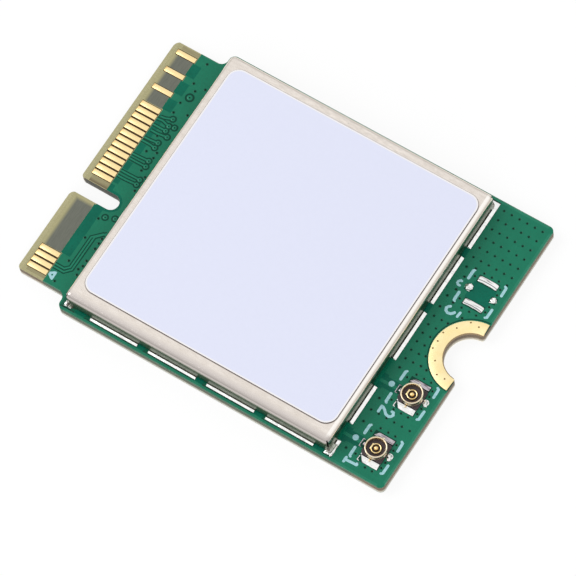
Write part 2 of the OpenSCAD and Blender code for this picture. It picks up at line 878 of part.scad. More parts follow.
circuit_board();
green_lacquer_top();
green_lacquer_bottom();
edge_contacts_top();
edge_contacts_bottom();
screw_notch_land_top();
screw_notch_land_bottom();
shield_lands();
antenna_lands();
white_print();
shield_can();
shield_solder();
label();
socket_base(socket_1_y);  // antenna_socket_1_base
socket_shell(socket_1_y);  // antenna_socket_1_shell
socket_contact(socket_1_y);  // antenna_socket_1_contact
socket_base(socket_2_y);  // antenna_socket_2_base
socket_shell(socket_2_y);  // antenna_socket_2_shell
socket_contact(socket_2_y);  // antenna_socket_2_contact
socket_solder();
radio_chip();
radio_chip_leads();
heat_pad();
power_chip();
power_chip_leads();
memory_chip();
memory_chip_leads();
antenna_amplifiers();
antenna_filters();
crystal_base();
crystal_lid();
coil_cores();
coil_ends();
capacitor_bodies();
capacitor_ends();
resistor_bodies();
resistor_ends();
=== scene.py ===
# Looks of a plug-in wireless card: green board with an edge plug, folded metal shield with a
# blank label, two antenna sockets and a half-round screw notch. Sizes in the sections are in
# millimetres, in the frame of the CAD model, and each finished mesh is in metres.
import math
import random
import bmesh
import bpy
from mathutils import Matrix, Vector, noise


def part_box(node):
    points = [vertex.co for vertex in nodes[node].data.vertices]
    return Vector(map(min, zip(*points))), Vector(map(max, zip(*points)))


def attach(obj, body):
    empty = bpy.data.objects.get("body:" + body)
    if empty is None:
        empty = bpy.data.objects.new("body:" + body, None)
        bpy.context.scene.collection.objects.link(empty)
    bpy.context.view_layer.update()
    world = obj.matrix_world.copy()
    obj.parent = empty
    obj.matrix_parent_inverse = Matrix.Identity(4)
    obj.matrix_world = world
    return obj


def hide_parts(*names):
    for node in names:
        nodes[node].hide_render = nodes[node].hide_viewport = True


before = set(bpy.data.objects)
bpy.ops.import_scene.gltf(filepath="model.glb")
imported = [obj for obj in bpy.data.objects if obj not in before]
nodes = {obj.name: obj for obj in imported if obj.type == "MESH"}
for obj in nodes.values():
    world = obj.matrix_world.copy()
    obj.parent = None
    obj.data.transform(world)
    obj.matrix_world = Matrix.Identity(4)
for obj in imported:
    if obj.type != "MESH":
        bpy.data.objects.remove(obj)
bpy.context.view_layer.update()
scene = bpy.context.scene
scene.view_settings.view_transform = "Standard"


# Camera: the photograph's own view, with a long lens above the card's lower right corner.
def frame_camera():
    azimuth, elevation, roll = (math.radians(a) for a in (42.747, 65.686, 11.064))
    forward = Vector((-math.cos(elevation) * math.sin(azimuth),
                      math.cos(elevation) * math.cos(azimuth), -math.sin(elevation)))
    level = Vector((math.cos(azimuth), math.sin(azimuth), 0))
    right = level * math.cos(roll) + forward.cross(level) * math.sin(roll)
    up = -forward.cross(right)
    data = bpy.data.cameras.new("camera")
    data.sensor_width = 36
    data.lens = 5301.9 * 36 / 576
    data.clip_start, data.clip_end = 0.02, 5
    camera = bpy.data.objects.new("camera", data)
    scene.collection.objects.link(camera)
    camera.matrix_world = Matrix.Translation((0.10153, -0.10980, 0.32613)) @ Matrix(
        (right, up, -forward)).transposed().to_4x4()
    scene.camera = camera


frame_camera()


# Floor, backdrop and lamps: a plain white table under a white sky with two soft lamps.
def build_stage():
    bm = bmesh.new()
    bmesh.ops.create_grid(bm, x_segments=1, y_segments=1, size=1.5)
    mesh = bpy.data.meshes.new("floor")
    bm.to_mesh(mesh)
    bm.free()
    floor = bpy.data.objects.new("floor", mesh)
    floor.location.z = -0.00002
    scene.collection.objects.link(floor)
    material = bpy.data.materials.new("floor")
    material.use_nodes = True
    tree = material.node_tree
    tree.nodes.clear()
    output = tree.nodes.new("ShaderNodeOutputMaterial")
    paper = tree.nodes.new("ShaderNodeBsdfDiffuse")
    paper.inputs["Color"].default_value = (0.93, 0.93, 0.93, 1)
    glow = tree.nodes.new("ShaderNodeEmission")
    glow.inputs["Strength"].default_value = 1.03
    path = tree.nodes.new("ShaderNodeLightPath")
    seen = tree.nodes.new("ShaderNodeMath")
    seen.operation = "MAXIMUM"
    tree.links.new(path.outputs["Is Camera Ray"], seen.inputs[0])
    tree.links.new(path.outputs["Is Glossy Ray"], seen.inputs[1])
    also = tree.nodes.new("ShaderNodeMath")
    also.operation = "MAXIMUM"
    tree.links.new(seen.outputs[0], also.inputs[0])
    tree.links.new(path.outputs["Is Transmission Ray"], also.inputs[1])
    share = tree.nodes.new("ShaderNodeMath")
    share.operation = "MULTIPLY"
    share.inputs[1].default_value = 0.82
    tree.links.new(also.outputs[0], share.inputs[0])
    blend = tree.nodes.new("ShaderNodeMixShader")
    tree.links.new(share.outputs[0], blend.inputs[0])
    tree.links.new(paper.outputs[0], blend.inputs[1])
    tree.links.new(glow.outputs[0], blend.inputs[2])
    tree.links.new(blend.outputs[0], output.inputs["Surface"])
    mesh.materials.append(material)

    world = bpy.data.worlds.new("sky")
    world.use_nodes = True
    sky = world.node_tree
    background = sky.nodes["Background"]
    background.inputs["Color"].default_value = (1, 1, 1, 1)
    path = sky.nodes.new("ShaderNodeLightPath")
    seen = sky.nodes.new("ShaderNodeMath")
    seen.operation = "MAXIMUM"
    sky.links.new(path.outputs["Is Camera Ray"], seen.inputs[0])
    sky.links.new(path.outputs["Is Glossy Ray"], seen.inputs[1])
    also = sky.nodes.new("ShaderNodeMath")
    also.operation = "MAXIMUM"
    sky.links.new(seen.outputs[0], also.inputs[0])
    sky.links.new(path.outputs["Is Transmission Ray"], also.inputs[1])
    mirrored = sky.nodes.new("ShaderNodeMapRange")
    mirrored.inputs["From Min"].default_value = 0.0
    mirrored.inputs["From Max"].default_value = 0.75
    mirrored.inputs["To Min"].default_value = 0.62
    mirrored.inputs["To Max"].default_value = 1.0
    coords = sky.nodes.new("ShaderNodeTexCoord")
    height = sky.nodes.new("ShaderNodeSeparateXYZ")
    sky.links.new(coords.outputs["Generated"], height.inputs[0])
    sky.links.new(height.outputs["Z"], mirrored.inputs["Value"])
    white = sky.nodes.new("ShaderNodeMath")
    white.operation = "MAXIMUM"
    sky.links.new(mirrored.outputs[0], white.inputs[0])
    sky.links.new(path.outputs["Is Camera Ray"], white.inputs[1])
    level = sky.nodes.new("ShaderNodeMapRange")
    level.inputs["To Min"].default_value = 0.70
    sky.links.new(also.outputs[0], level.inputs["Value"])
    sky.links.new(white.outputs[0], level.inputs["To Max"])
    sky.links.new(level.outputs[0], background.inputs["Strength"])
    scene.world = world

    for name, place, size, power in (("lamp_left", (-0.36, -0.10, 0.34), 0.34, 0.88),
                                     ("lamp_front", (0.20, -0.40, 0.24), 0.40, 0.55)):
        data = bpy.data.lights.new(name, "AREA")
        data.shape = "SQUARE"
        data.size = size
        data.energy = power
        lamp = bpy.data.objects.new(name, data)
        lamp.location = place
        lamp.rotation_mode = "QUATERNION"
        lamp.rotation_quaternion = (-Vector(place)).to_track_quat("-Z", "Y")
        lamp.visible_glossy = name == "lamp_left"
        scene.collection.objects.link(lamp)


build_stage()


# Laminate: pressed glass-fibre sheet, routed to outline with a bevelled plug edge. Bare and
# yellowish at the plug, layered and brownish on its cut sides, dark green in the filled holes.
MM = 0.001
TOP = 0.8                      # top face of the finished board
BARE = 0.77                    # top face of the bare laminate


def tint(red, green, blue):
    """A colour written as display values from 0 to 255."""
    def linear(value):
        value /= 255
        return value / 12.92 if value <= 0.04045 else ((value + 0.055) / 1.055) ** 2.4
    return (linear(red), linear(green), linear(blue), 1)


class Shader:
    """A finish whose patterns are laid out in millimetres on the piece itself."""

    def __init__(self, name, rough=0.5, metal=0.0, specular=0.5):
        self.material = bpy.data.materials.new(name)
        self.material.use_nodes = True
        self.tree = self.material.node_tree
        self.bsdf = next(n for n in self.tree.nodes if n.type == "BSDF_PRINCIPLED")
        self.bsdf.inputs["Roughness"].default_value = rough
        self.bsdf.inputs["Metallic"].default_value = metal
        self.bsdf.inputs["Specular IOR Level"].default_value = specular
        coords = self.tree.nodes.new("ShaderNodeTexCoord")
        scale = self.tree.nodes.new("ShaderNodeVectorMath")
        scale.operation = "SCALE"
        scale.inputs["Scale"].default_value = 1000
        self.join(coords.outputs["Object"], scale.inputs[0])
        self.place = scale.outputs[0]
        self.height = None

    def join(self, source, target):
        self.tree.links.new(source, target)

    def put(self, source, target):
        if isinstance(source, (int, float, tuple)):
            target.default_value = source
        else:
            self.join(source, target)

    def noise(self, scale, stretch=(1, 1, 1), detail=3, rough=0.5):
        mapping = self.tree.nodes.new("ShaderNodeMapping")
        mapping.inputs["Scale"].default_value = stretch
        self.join(self.place, mapping.inputs["Vector"])
        node = self.tree.nodes.new("ShaderNodeTexNoise")
        node.inputs["Scale"].default_value = scale
        node.inputs["Detail"].default_value = detail
        node.inputs["Roughness"].default_value = rough
        self.join(mapping.outputs[0], node.inputs["Vector"])
        return node.outputs["Fac"]

    def spots(self, scale, stretch=(1, 1, 1)):
        mapping = self.tree.nodes.new("ShaderNodeMapping")
        mapping.inputs["Scale"].default_value = stretch
        self.join(self.place, mapping.inputs["Vector"])
        node = self.tree.nodes.new("ShaderNodeTexVoronoi")
        node.inputs["Scale"].default_value = scale
        self.join(mapping.outputs[0], node.inputs["Vector"])
        return node.outputs["Distance"]

    def vector(self, operation, first, second=(0, 0, 0)):
        node = self.tree.nodes.new("ShaderNodeVectorMath")
        node.operation = operation
        self.put(first, node.inputs[0])
        self.put(second, node.inputs[1])
        return node.outputs["Value" if operation == "LENGTH" else "Vector"]

    def past_outline(self, x, y, half_x, half_y, radius):
        """How far a point lies outside a round-cornered outline; negative inside it."""
        off = self.vector("ABSOLUTE", self.vector("SUBTRACT", self.place, (x, y, 0)))
        off = self.vector("SUBTRACT", off, (half_x - radius, half_y - radius, 0))
        off = self.vector("MULTIPLY", self.vector("MAXIMUM", off), (1, 1, 0))
        return self.math("SUBTRACT", self.vector("LENGTH", off), radius)

    def axis(self, which):
        node = self.tree.nodes.new("ShaderNodeSeparateXYZ")
        self.join(self.place, node.inputs[0])
        return node.outputs[which]

    def facing_up(self):
        geometry = self.tree.nodes.new("ShaderNodeNewGeometry")
        node = self.tree.nodes.new("ShaderNodeSeparateXYZ")
        self.join(geometry.outputs["Normal"], node.inputs[0])
        return self.ramp(self.math("ABSOLUTE", node.outputs["Z"]), 0.4, 0.6)

    def math(self, operation, first, second=0.0):
        node = self.tree.nodes.new("ShaderNodeMath")
        node.operation = operation
        self.put(first, node.inputs[0])
        self.put(second, node.inputs[1])
        return node.outputs[0]

    def ramp(self, value, low, high, to_low=0.0, to_high=1.0):
        node = self.tree.nodes.new("ShaderNodeMapRange")
        self.join(value, node.inputs["Value"])
        for name, number in (("From Min", low), ("From Max", high),
                             ("To Min", to_low), ("To Max", to_high)):
            node.inputs[name].default_value = number
        return node.outputs[0]

    def mix(self, factor, first, second):
        node = self.tree.nodes.new("ShaderNodeMix")
        node.data_type = "RGBA"
        self.put(factor, node.inputs["Factor"])
        self.put(first, node.inputs[6])
        self.put(second, node.inputs[7])
        return node.outputs[2]

    def colour(self, source):
        self.put(source, self.bsdf.inputs["Base Color"])

    def roughness(self, source):
        self.put(source, self.bsdf.inputs["Roughness"])

    def bump(self, value, depth, strength=1.0):
        node = self.tree.nodes.new("ShaderNodeBump")
        node.inputs["Distance"].default_value = depth * MM
        node.inputs["Strength"].default_value = strength
        self.join(value, node.inputs["Height"])
        if self.height is not None:
            self.join(self.height, node.inputs["Normal"])
        self.height = node.outputs[0]
        self.join(self.height, self.bsdf.inputs["Normal"])

    def coat(self, weight, rough):
        self.bsdf.inputs["Coat Weight"].default_value = weight
        self.bsdf.inputs["Coat Roughness"].default_value = rough


def piece(name, bm, shader, replaces=(), smooth=None, outward=True):
    """Turns a mesh in millimetres into a piece at the origin that rides on the card."""
    bmesh.ops.scale(bm, vec=(MM, MM, MM), verts=bm.verts)
    if outward:
        bmesh.ops.recalc_face_normals(bm, faces=bm.faces)
    mesh = bpy.data.meshes.new(name)
    bm.to_mesh(mesh)
    bm.free()
    mesh.materials.append(shader.material)
    if smooth is not None:
        mesh.shade_smooth()
        mesh.set_sharp_from_angle(angle=math.radians(smooth))
    made = bpy.data.objects.new(name, mesh)
    scene.collection.objects.link(made)
    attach(made, "root")
    if replaces:
        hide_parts(*replaces)
    return made


def finish_node(name, shader):
    nodes[name].data.materials.clear()
    nodes[name].data.materials.append(shader.material)


def box(bm, x, y, z, length, width, height, turn=0.0, bevel=0.0, steps=2):
    place = (Matrix.Translation((x, y, z + height / 2)) @ Matrix.Rotation(turn, 4, "Z")
             @ Matrix.Diagonal((length, width, height, 1)))
    verts = bmesh.ops.create_cube(bm, size=1, matrix=place)["verts"]
    if bevel:
        edges = list({edge for v in verts for edge in v.link_edges})
        bmesh.ops.bevel(bm, geom=edges, offset=bevel, segments=steps, profile=0.5,
                        affect="EDGES", clamp_overlap=True)


def build_laminate():
    shader = Shader("laminate", rough=0.55)
    fibres = shader.noise(5, stretch=(1, 6, 1))
    bare = shader.mix(shader.ramp(fibres, 0.35, 0.65), tint(177, 171, 129), tint(159, 153, 111))
    layers = shader.noise(9, stretch=(0.12, 0.12, 1.6), detail=2)
    blend = shader.ramp(layers, 0.38, 0.62)
    upper = shader.mix(blend, tint(62, 72, 54), tint(88, 94, 72))
    lower = shader.mix(blend, tint(110, 106, 92), tint(136, 132, 116))
    brown_upper = shader.mix(blend, tint(96, 80, 60), tint(122, 104, 80))
    brown_lower = shader.mix(blend, tint(146, 126, 104), tint(170, 150, 126))
    past_lacquer = shader.ramp(shader.axis("X"), -12.87, -12.85)
    screw_end = shader.ramp(shader.axis("X"), 12.4, 13.0)
    browner = shader.math("MAXIMUM", screw_end, shader.math("SUBTRACT", 1.0, past_lacquer))
    depth = shader.ramp(shader.axis("Z"), 0.22, 0.46)
    cut = shader.mix(depth, lower, upper)
    cut = shader.mix(browner, cut, shader.mix(depth, brown_lower, brown_upper))
    # The lowest resin-rich layer is bare and pale.
    cut = shader.mix(shader.ramp(shader.axis("Z"), 0.34, 0.14), cut, tint(206, 203, 190))
    # The walls of the key notch are painted dark as shade inside the narrow slot.
    past_slot = shader.past_outline(-13.3, -2.625, 1.8, 0.6, 0.6)
    cut = shader.mix(shader.ramp(past_slot, 0.01, 0.05, 0.85, 0.0), cut, tint(44, 46, 34))
    past_screw = shader.past_outline(15, 0, 1.96, 1.96, 1.96)
    faces = shader.mix(past_lacquer, bare, tint(12, 62, 45))
    faces = shader.mix(shader.ramp(past_screw, 0.0, 0.02, 1.0, 0.0), faces, tint(150, 128, 98))
    shader.colour(shader.mix(shader.facing_up(), cut, faces))
    shader.roughness(shader.ramp(fibres, 0, 1, 0.45, 0.65))
    shader.bump(shader.noise(14, stretch=(1, 1, 3)), 0.006)
    finish_node("circuit_board", shader)

    # Inner copper shows through the bare laminate as gray fields with soft edges. A thin film
    # that lies on the laminate, as do the shaded strips and the dark resin by the contacts with its painted shadow.
    gray = Shader("bare_gray", rough=0.6)
    lines = gray.noise(3, stretch=(8, 0.5, 1))
    inner = gray.mix(gray.ramp(lines, 0.35, 0.65), tint(107, 109, 98), tint(96, 99, 88))
    edge = gray.ramp(gray.axis("X"), -14.42, -14.16, 1.0, 0.0)
    below = gray.math("MULTIPLY", gray.ramp(gray.axis("Y"), -3.66, -3.40),
                      gray.ramp(gray.axis("Y"), 0, 1, 1.0, 0.0))
    gray.colour(gray.mix(gray.math("MAXIMUM", edge, below), inner, tint(168, 162, 118)))
    gray.bump(lines, 0.003)
    bm = bmesh.new()
    for y0, y1 in ((-7.50, -3.36), (5.02, 6.02), (6.48, 7.52), (7.98, 9.02)):
        box(bm, -13.72, (y0 + y1) / 2, BARE, 1.44, y1 - y0, 0.002)
    piece("plug_gray_fields", bm, gray)

    # Brown resin shows between the contacts; each box reaches past its group, so the brown also paints the contacts'
    # shadow along their edges.
    brown = Shader("bare_brown", rough=0.65, specular=0.2)
    brown.colour(brown.mix(brown.noise(4), tint(72, 50, 20), tint(50, 34, 12)))
    brown.bump(brown.noise(20), 0.003)
    bm = bmesh.new()
    for first, last in ((1, 7), (33, 57), (63, 63), (69, 69), (75, 75)):
        y0, y1 = ((n - 38) * 0.25 for n in (first, last))
        box(bm, -13.69, (y0 + y1) / 2, BARE, 1.58, y1 - y0 + 0.46, 0.0024)
    piece("plug_contact_gaps", bm, brown)

    pale = Shader("bare_shade", rough=0.6)
    fade = pale.noise(2.5, stretch=(0.6, 5, 1))
    tone = pale.mix(pale.ramp(fade, 0.3, 0.7), tint(158, 150, 112), tint(140, 132, 96))
    pale.colour(pale.mix(pale.math("MULTIPLY", pale.ramp(pale.axis("Y"), -1.72, -1.96),
                                   pale.ramp(pale.axis("Y"), -3, -2.5)), tone, tint(104, 90, 64)))
    pale.bump(pale.noise(14), 0.003)
    bm = bmesh.new()
    for x, y, length, width in ((-13.60, -1.73, 1.46, 0.50), (-13.60, 9.66, 1.4, 0.36),
                                (-13.62, -9.60, 1.46, 0.24)):
        box(bm, x, y, BARE, length, width, 0.0016)
    piece("plug_shaded_strips", bm, pale)


build_laminate()


# Green lacquer: printed over copper and laminate, glossy, paler over copper. The copper that it
# covers shows as raised lines and discs; gaps in the copper show as darker, lower fields.
# Darker fields are also painted as shade by the shield's gaps and doorways.
def rod(bm, x, y, z, radius, height, end=None, sides=20):
    bmesh.ops.create_cone(bm, cap_ends=True, segments=sides, radius1=radius,
                          radius2=radius if end is None else end, depth=height,
                          matrix=Matrix.Translation((x, y, z + height / 2)))


def ribbon(bm, points, width, z, height, round_ends=False):
    """A flat strip along the points, mitred at its bends and raised to its height."""
    path = [(Vector((x, y, z)), width / 2) for x, y in points]
    if round_ends:
        for end in (0, -1):
            tip, after = path[end][0], path[1 if end == 0 else -2][0]
            run = (after - tip).normalized()
            cap = [(tip + run * width / 2 * (1 - math.cos(t)), width / 2 * math.sin(t))
                   for t in (0.25, 0.6, 1.0, math.pi / 2)]
            path = cap + path[1:] if end == 0 else path[:-1] + cap[::-1]
    runs = [(b - a).normalized() for (a, _), (b, _) in zip(path, path[1:])]
    sides = [Vector((-run.y, run.x, 0)) for run in runs]
    edge, faces = None, []
    for i, (point, half) in enumerate(path):
        before, after = sides[max(i - 1, 0)], sides[min(i, len(sides) - 1)]
        mitre = (before + after) / (1 + before.dot(after)) * half
        if edge is None:
            edge = bm.edges.new((bm.verts.new(point - mitre), bm.verts.new(point + mitre)))
            left = edge.verts[1]
            continue
        made = bmesh.ops.extrude_edge_only(bm, edges=[edge])["geom"]
        new = [v for v in made if isinstance(v, bmesh.types.BMVert)]
        left = min(new, key=lambda v: (v.co - left.co).length)
        for v in new:
            v.co = point + mitre if v is left else point - mitre
        faces += [f for f in made if isinstance(f, bmesh.types.BMFace)]
        edge = next(e for e in made if isinstance(e, bmesh.types.BMEdge)
                    and set(e.verts) == set(new))
    made = bmesh.ops.extrude_face_region(bm, geom=faces, use_keep_orig=True)["geom"]
    for v in made:
        if isinstance(v, bmesh.types.BMVert):
            v.co.z += height


def lathe(bm, x, y, z, profile, steps=64):
    verts = [bm.verts.new((x + r, y, z + h)) for r, h in profile]
    edges = [bm.edges.new(pair) for pair in zip(verts, verts[1:])]
    bmesh.ops.spin(bm, geom=verts + edges, cent=(x, y, z), axis=(0, 0, 1),
                   angle=2 * math.pi, steps=steps, use_merge=True)
    bmesh.ops.remove_doubles(bm, verts=bm.verts, dist=0.0005)


def lacquer(name, light, dark, rough=0.28, specular=0.25):
    shader = Shader(name, rough=rough, specular=specular)
    cloud = shader.noise(0.9, detail=4)
    fine = shader.noise(5, detail=4)
    clouded = shader.mix(shader.ramp(cloud, 0.3, 0.7), light, dark)
    deep = tuple(0.86 * channel for channel in dark[:3]) + (1,)
    shader.colour(shader.mix(shader.ramp(fine, 0.52, 0.85), clouded, deep))
    shader.roughness(shader.ramp(fine, 0, 1, rough - 0.05, rough + 0.10))
    shader.bump(fine, 0.010)
    return shader


PAIR_A = [(-12.85, -8.4), (-12.1, -8.4), (-11.8, -8.1), (-11.8, -5.5), (-11.2, -4.9), (-10.9, -4.9)]
PAIR_B = [(-12.85, -8.62), (-12.0, -8.62), (-11.6, -8.2), (-11.6, -5.4), (-11.0, -4.75)]
SHORT_LINES = [
    [(-12.85, -0.72), (-12.2, -0.72), (-11.3, -0.65)], [(-12.85, -0.28), (-12.2, -0.28), (-11.3, -0.25)],
    [(-12.85, 0.78), (-12.2, 0.78), (-11.5, 0.8)], [(-12.85, 1.18), (-12.3, 1.2), (-11.55, 1.25)],
    [(-12.85, 2.35), (-12.2, 2.35), (-11.75, 2.3)], [(-12.85, 2.62), (-12.3, 2.65), (-11.75, 2.72)],
    [(-12.85, 3.75), (-12.4, 3.75), (-11.8, 3.75)], [(-12.85, 4.25), (-12.4, 4.3), (-11.8, 4.15)],
    [(-12.7, 4.5), (-12.35, 4.55), (-11.85, 4.75)], [(-12.7, 3.3), (-12.2, 3.3), (-11.45, 3.4)],
]
RINGED = [(-11.3, -0.65), (-11.3, -0.25), (-11.5, 0.8), (-11.55, 1.25), (-11.75, 2.3),
          (-11.75, 2.72), (-11.8, 3.75), (-11.45, 3.4), (-11.8, 4.15), (-11.4, 4.25),
          (-11.85, 4.75), (-11.8, -3.8), (-11.15, -3.55)]
PLAIN_VIAS = [(-12.1, 9.45), (-12.1, 7.75), (-11.15, 7.75), (-11.7, 7.3), (-12.1, 6.05),
              (-11.15, 5.5), (-12.1, 5.2), (-12.1, 3.15), (-12.1, 1.8), (-11.4, 2.05),
              (-11.4, 1.6), (-11.6, 0.4), (-11.1, 0.1), (-11.15, -1.1), (-12.15, -4.1),
              (-12.15, -5.75), (-12.15, -7.75), (-12.15, -9.5), (-11.1, -5.25), (-11.1, -5.65),
              (-11.1, -6.1), (-11.1, -7.15), (-11.1, -7.6), (-11.25, -7.95), (-11.1, -8.35),
              (11.90, 5.80), (14.35, 5.80), (11.90, 2.90), (11.56, 4.90), (11.57, 3.83),
              (11.30, 5.60), (11.30, 3.15), (11.30, 2.22), (13.02, 2.24), (12.42, 1.42),
              (12.40, -1.36), (12.98, -2.19), (12.50, -2.13), (11.33, -2.93), (11.35, -5.50),
              (11.33, -7.45), (11.35, -9.65)]
PLACES = {"1": -8.72, "2": -4.22, "3": 4.36}          # middles of the three antenna places
PLACE_X = 13.18
FENCE = [(-0.6, 1.43), (0, 1.43), (0.55, 1.43), (-1.05, 0.95), (0.95, 0.95), (0.98, 0.5),
         (0.98, -0.5), (0.95, -0.96), (-1.07, -0.96), (-0.6, -1.47), (0, -1.47), (0.55, -1.47)]


def notch_end_holes():
    columns = [11.3 + 0.61 * i for i in range(6)]
    found = [(x, 10.4 - 0.79 * j) for x in columns for j in range(6)]
    found += [(x, -6.47) for x in columns]
    found += [(x, 0.72 * j) for x in columns[:2] for j in range(-3, 3)]
    return found + [(PLACE_X + dx, y + dy) for y in PLACES.values() for dx, dy in FENCE]


def build_lacquer_top():
    finish_node("green_lacquer_top", lacquer("lacquer_top", tint(15, 120, 91), tint(10, 114, 86)))

    # Darker lacquer in the corners and gaps by the shield's feet: bare of copper, and also painted shade from the
    # walls.
    patch = lacquer("lacquer_by_corners", tint(8, 96, 72), tint(6, 88, 66))
    bm = bmesh.new()
    for x, y, length, width in ((-10.28, -10.43, 1.18, 0.60), (10.20, -10.43, 0.20, 0.60),
                                (-10.54, -10.30, 0.64, 0.86)):
        box(bm, x, y, BARE, length, width, 0.030 + 0.0002 * length)
    for x0, x1 in ((-8.97, -8.47), (-4.19, -3.78), (0.58, 0.91), (5.35, 5.60)):
        for side in (-1, 1):
            box(bm, (x0 + x1) / 2, side * 10.43, BARE, x1 - x0, 0.60, 0.0303)
    piece("lacquer_by_corners", bm, patch)

    dark = lacquer("lacquer_dark", tint(4, 108, 86), tint(3, 97, 77), specular=0.14)
    bm = bmesh.new()
    for x0, x1, y0, y1 in ((-12.98, -12.24, -7.48, -3.32), (-12.98, -12.26, 5.06, 6.00),
                           (-12.98, -12.28, 6.50, 7.50), (-12.98, -12.28, 8.00, 9.02),
                           (-12.84, -12.40, 2.78, 4.62), (-12.84, -12.34, 1.36, 2.16),
                           (-12.84, -12.40, -0.08, 0.58), (-12.84, -12.42, -1.28, -0.9),
                           (-12.84, -12.50, -2.0, -1.45), (12.30, 14.04, 3.70, 5.02)):
        box(bm, (x0 + x1) / 2, (y0 + y1) / 2, BARE, x1 - x0, y1 - y0, 0.031)
    ribbon(bm, [(-12.84, -1.93)] + [(-12.1 + 0.70 * math.cos(t), -2.625 + 0.70 * math.sin(t))
                                    for t in (1.57, 1.2, 0.8, 0.4, 0, -0.4, -0.8, -1.2, -1.57)]
           + [(-12.84, -3.32)], 0.18, TOP, 0.0014)
    # Painted shade: dark fields under the shield's doorways by the sockets and in the gaps of its walls.
    for y in (-4.32, -8.80):
        box(bm, 11.32, y, TOP, 1.36, 0.84, 0.001)
        box(bm, 10.86, y, TOP, 0.40, 1.14, 0.0012)
    for x in (-9.33, -4.56, 0.21, 4.98, 9.75):
        box(bm, x, -10.46, TOP, 0.80, 0.56, 0.001)
    for y in (6.45, 1.72):
        box(bm, 10.62, y, TOP, 0.44, 0.80, 0.001)
    piece("lacquer_dark_fields", bm, dark)

    outline = lacquer("lacquer_outline", tint(2, 74, 56), tint(2, 66, 50), specular=0.14)
    bm = bmesh.new()
    level = 0.0014
    for line in [PAIR_A, PAIR_B] + SHORT_LINES:
        ribbon(bm, line, 0.30, TOP, level)
        level += 0.0002
    for x, y in RINGED:
        rod(bm, x, y, TOP, 0.27, level, sides=28)
        level += 0.0002
    rod(bm, -11.75, 6.7, TOP, 0.34, level, sides=32)
    # A thin dark line is painted around each land as the shadow of the lacquer's opening.
    for side in (-1, 1):
        box(bm, PLACE_X, PLACES["3"] + side * 0.95, TOP, 1.60, 0.57, 0.001)
        box(bm, PLACE_X + 0.97 * side, PLACES["3"] + 0.02, TOP, 0.50, 0.50, 0.0013)
        for y in (PLACES["1"], PLACES["2"]):
            box(bm, PLACE_X, y + side * 1.0 - 0.05, TOP, 1.62, 0.50, 0.001)
    for y in (PLACES["1"], PLACES["2"]):
        box(bm, PLACE_X - 1.03, y - 0.07, TOP, 0.34, 0.66, 0.0017)
    for x0, x1 in ((-10.70, -10.06), (-8.49, -4.70), (-3.80, -0.01), (0.89, 4.68), (5.58, 9.37),
                   (10.26, 10.86)):
        box(bm, (x0 + x1) / 2, -10.66, TOP, x1 - x0, 0.20, 0.0011)
    ribbon(bm, [(15 - 2.83 * math.sin(t), 0.03 + 2.83 * math.cos(t))
                for t in (0.035 + 0.0512 * i for i in range(61))], 0.09, TOP, 0.0016)
    piece("lacquer_outlines", bm, outline)

    light = lacquer("lacquer_over_copper", tint(24, 130, 100), tint(17, 121, 92), rough=0.24)
    bm = bmesh.new()
    level = 0.0075
    for line in [PAIR_A, PAIR_B] + SHORT_LINES:
        ribbon(bm, line, 0.12, TOP, level)
        level += 0.0002
    for x, y in RINGED:
        rod(bm, x, y, TOP, 0.165, level, end=0.15, sides=28)
        level += 0.0002
    rod(bm, -11.75, 6.7, TOP, 0.21, level, end=0.19, sides=32)
    for y in (-4.32, -8.80):
        box(bm, 11.32, y, TOP, 1.36, 0.24, 0.004)
    piece("lacquered_copper", bm, light, smooth=40)

    # Each plated hole is a small bowl in the lacquer: a dark middle with a soft sloping rim.
    hole = Shader("filled_hole", rough=0.4, specular=0.1)
    hole.colour(hole.mix(hole.noise(9), tint(2, 44, 30), tint(2, 34, 24)))
    hole.bump(hole.noise(30), 0.004)
    slope = lacquer("bowl_slope", tint(10, 100, 75), tint(6, 90, 67), rough=0.2)
    holes, bowls = bmesh.new(), bmesh.new()
    for x, y in RINGED:
        rod(holes, x, y, TOP, 0.05, 0.0135, sides=14)
    for x, y in PLAIN_VIAS:
        rod(holes, x, y, TOP, 0.075, 0.0135, sides=16)
        rod(bowls, x, y, TOP, 0.125, 0.012, end=0.10, sides=20)
    rod(holes, -11.75, 6.7, TOP, 0.06, 0.014, sides=16)
    for x, y in notch_end_holes():
        rod(holes, x, y, BARE, 0.07, 0.012, sides=16)
        lathe(bowls, x, y, BARE, [(0.066, 0.001), (0.110, 0.001), (0.110, 0.029), (0.066, 0.013),
                                  (0.066, 0.001)], steps=20)
    piece("filled_holes", holes, hole)
    piece("hole_bowls", bowls, slope, smooth=40)

    # The lacquer thins out over the routed edge and shows as a pale line along the long side, which also stands for
    # a painted highlight on the edge.
    rim = lacquer("lacquer_rim", tint(96, 148, 124), tint(70, 128, 102), rough=0.3)
    bm = bmesh.new()
    for side in (-1, 1):
        ribbon(bm, [(-10.50, side * 10.968), (14.60, side * 10.968)], 0.05, TOP, 0.003)
        ribbon(bm, [(-12.80, side * 9.893), (-11.40, side * 9.893)], 0.045, TOP, 0.003)
    ribbon(bm, [(14.967, -10.6), (14.967, -2.95)], 0.05, TOP, 0.003)
    ribbon(bm, [(14.967, 2.95), (14.967, 10.6)], 0.05, TOP, 0.003)
    piece("lacquer_rim", bm, rim)

    band = lacquer("lacquer_edge_band", tint(36, 130, 101), tint(28, 122, 94))
    bm = bmesh.new()
    for side in (-1, 1):
        ribbon(bm, [(-10.45, side * 10.86), (14.55, side * 10.86)], 0.15, TOP, 0.002)
    for y0, y1 in ((-10.5, -3.0), (3.0, 10.5)):
        ribbon(bm, [(14.86, y0), (14.86, y1)], 0.15, TOP, 0.0024)
    piece("lacquer_edge_bands", bm, band)


build_lacquer_top()


